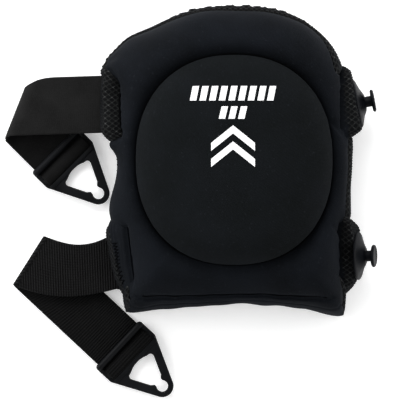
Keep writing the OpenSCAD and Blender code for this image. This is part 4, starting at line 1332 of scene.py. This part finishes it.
def make_print():
    parts = []
    mid = 3.0
    for count, low, tall in ((9, 41.5, 10.0), (3, 29.0, 8.5)):
        for k in range(count):
            x = mid + (k - (count - 1) / 2) * 6.6 - 3.2
            parts.append(ink_patch([(x, low), (x + 4.4, low), (x + 2, low + tall), (x + 6.4, low + tall)], 6, 8))
    for y in (-4, 7):
        for side in (-1, 1):
            tip, foot = np.array([mid, y + 12.0]), np.array([mid + side * 15.0, y])
            parts.append(ink_patch([foot, tip, foot + [0, 5.5], tip + [0, 5.5]], 18, 6))
    points, faces, _ = join(parts)
    return weld(build("ink", points, faces, INK))


# ---------------------------------------------------------------- the pieces

in_pad(make_cap(), "cap_jersey", "cap_cover", "gel_insert", "cap_foam", fill=0.85)
in_pad(make_rim(), "rim_jersey", "rim_cover", "rim_foam", fill=0.75)
in_pad(make_side(), "tab_mesh", "top_binding")
in_pad(make_liner(), "liner_mesh", "mesh_liner", "backing_foam")
in_pad(make_hem(), "rim_jersey", "bottom_hem")
for tab_name in TABS:
    in_pad(make_tab(tab_name), "tab_mesh", tab_name, fill=0.7)

# Painted shade: a near-black thread along the bottom of each slit stands for its seam and darkens the slit.
for tab_name, tab in TABS.items():
    run_a = np.linspace(tab["span"][0] + 1.5, tab["span"][1] - (4.5 if tab["soft_end"] else 1.5), 60)
    if not tab["soft_end"]:
        run_a = run_a + 2 * smooth((run_a[0] + 4 - run_a) / 4)
    at_u = np.interp(run_a, *TAB_TOPS[tab_name])
    taper = np.sqrt(np.sin(np.linspace(0.03, math.pi - 0.03, 60)))
    low, radius = tab["seam"]
    line = pad(at_u - 0.004, run_a, rim_puff(at_u) - low - radius * (1 - taper))
    sewn(tab_name + "_seam", line, radius * taper)

# Painted shade: a near-black thread along the hem's fold stands for its stitching and darkens the fold line.
HEM_A = np.linspace(HEM_CORNERS[0] + 0.5, HEM_CORNERS[1] - 0.5, 160)
HEM_U = HEM_FOLD + 0.004 * ripples(HEM_A, 31, 6, 8, 25) - 0.022
sewn("hem_fold_shade_thread", pad(HEM_U, HEM_A, rim_out(HEM_U, HEM_A)), 0.35, 6)

# Painted shade: the near-black piping in the cap's groove stands for its seam thread and darkens the groove.
RING = np.arange(0, 360, 0.75)
sewn("cap_piping_shade_line", pad(np.ones_like(RING), RING, np.full_like(RING, -2.3)), 0.8, 8, True, ["cap_seam_thread"])
in_pad(make_print(), "print_ink", "printed_mark")

HINGE = {"upper": np.array([-89.7, 40.17, 18.1]), "lower": np.array([-93.435, -72.79, 8.858])}
BLEND_DIR = {"upper": np.array([-0.99955, -0.02999, 0]), "lower": np.array([-0.79444, -0.60734, 0])}
BLEND_HALF = {"upper": 3.0, "lower": 4.0}

for which in ("upper", "lower"):
    strap = make_strap(which)
    at, reach = HINGE[which], BLEND_HALF[which] * BLEND_DIR[which]
    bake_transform(strap)
    run = make_run(which)
    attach(run, which + "_strap")
    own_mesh(run)
    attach(make_tail(which), which + "_tail")
    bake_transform(make_entry(which))
    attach(make_wrap(which), which + "_clip")
    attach(make_clip(which), which + "_clip")
    make_stud(which)


# ---------------------------------------------------------------- floor, light and camera


FLOOR_MATERIAL, floor_tree, floor_shader = new_material("floor")
pale = mix(floor_tree, noise(floor_tree, 3, 2, 0.5, place(floor_tree)), (0.93, 0.93, 0.93), (0.95, 0.95, 0.95))
dress(floor_tree, floor_shader, Base_Color=pale, Roughness=0.9, Emission_Color=(1, 1, 1, 1), Emission_Strength=0.35)
FLOOR_CORNERS = [(-9000, -9000, -0.4), (9000, -9000, -0.4), (9000, 9000, -0.4), (-9000, 9000, -0.4)]
build("floor", FLOOR_CORNERS, [(0, 1, 2, 3)], FLOOR_MATERIAL, None, False)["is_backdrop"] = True

for name, at, size, power in (
    ("top_light", (-0.15, 0.85, 0.7), (0.9, 0.5), 9.8),
    ("left_light", (-0.9, 0.1, 0.45), (0.5, 0.8), 5.5),
    ("right_light", (0.9, 0.0, 0.45), (0.5, 0.8), 2.8),
):
    data = bpy.data.lights.new(name, "AREA")
    data.shape = "RECTANGLE"
    data.size, data.size_y = size
    data.energy = power
    light = placed(bpy.data.objects.new(name, data))
    light.location = at
    light.rotation_euler = (Vector((0, 0, 0.02)) - Vector(at)).to_track_quat("-Z", "Y").to_euler()

world = bpy.data.worlds.new("studio")
world.use_nodes = True
sky = world.node_tree
up = node(sky, "ShaderNodeSeparateXYZ", Vector=node(sky, "ShaderNodeTexCoord").outputs["Generated"])
glow = ramp(sky, up.outputs[2], [(0.0, 1.0), (0.55, 0.75), (1.0, 0.28)])
dress(sky, sky.nodes["Background"], Color=glow, Strength=1.14)
bpy.context.scene.world = world
bpy.context.scene.view_settings.view_transform = "Standard"

camera_data = bpy.data.cameras.new("camera")
camera_data.sensor_width = 36
camera_data.lens = 384.4
camera_data.clip_start = 0.1
camera = placed(bpy.data.objects.new("camera", camera_data))
camera.location = (-0.0196, -0.0266, 3.0)
camera.rotation_euler = (0, 0, 0)
bpy.context.scene.camera = camera

VISUAL_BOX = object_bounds()


def plain(value):
    return [plain(v) for v in value] if hasattr(value, "__len__") else float(value)


{"cad": plain(CAD_BOX), "visual": plain(VISUAL_BOX)}
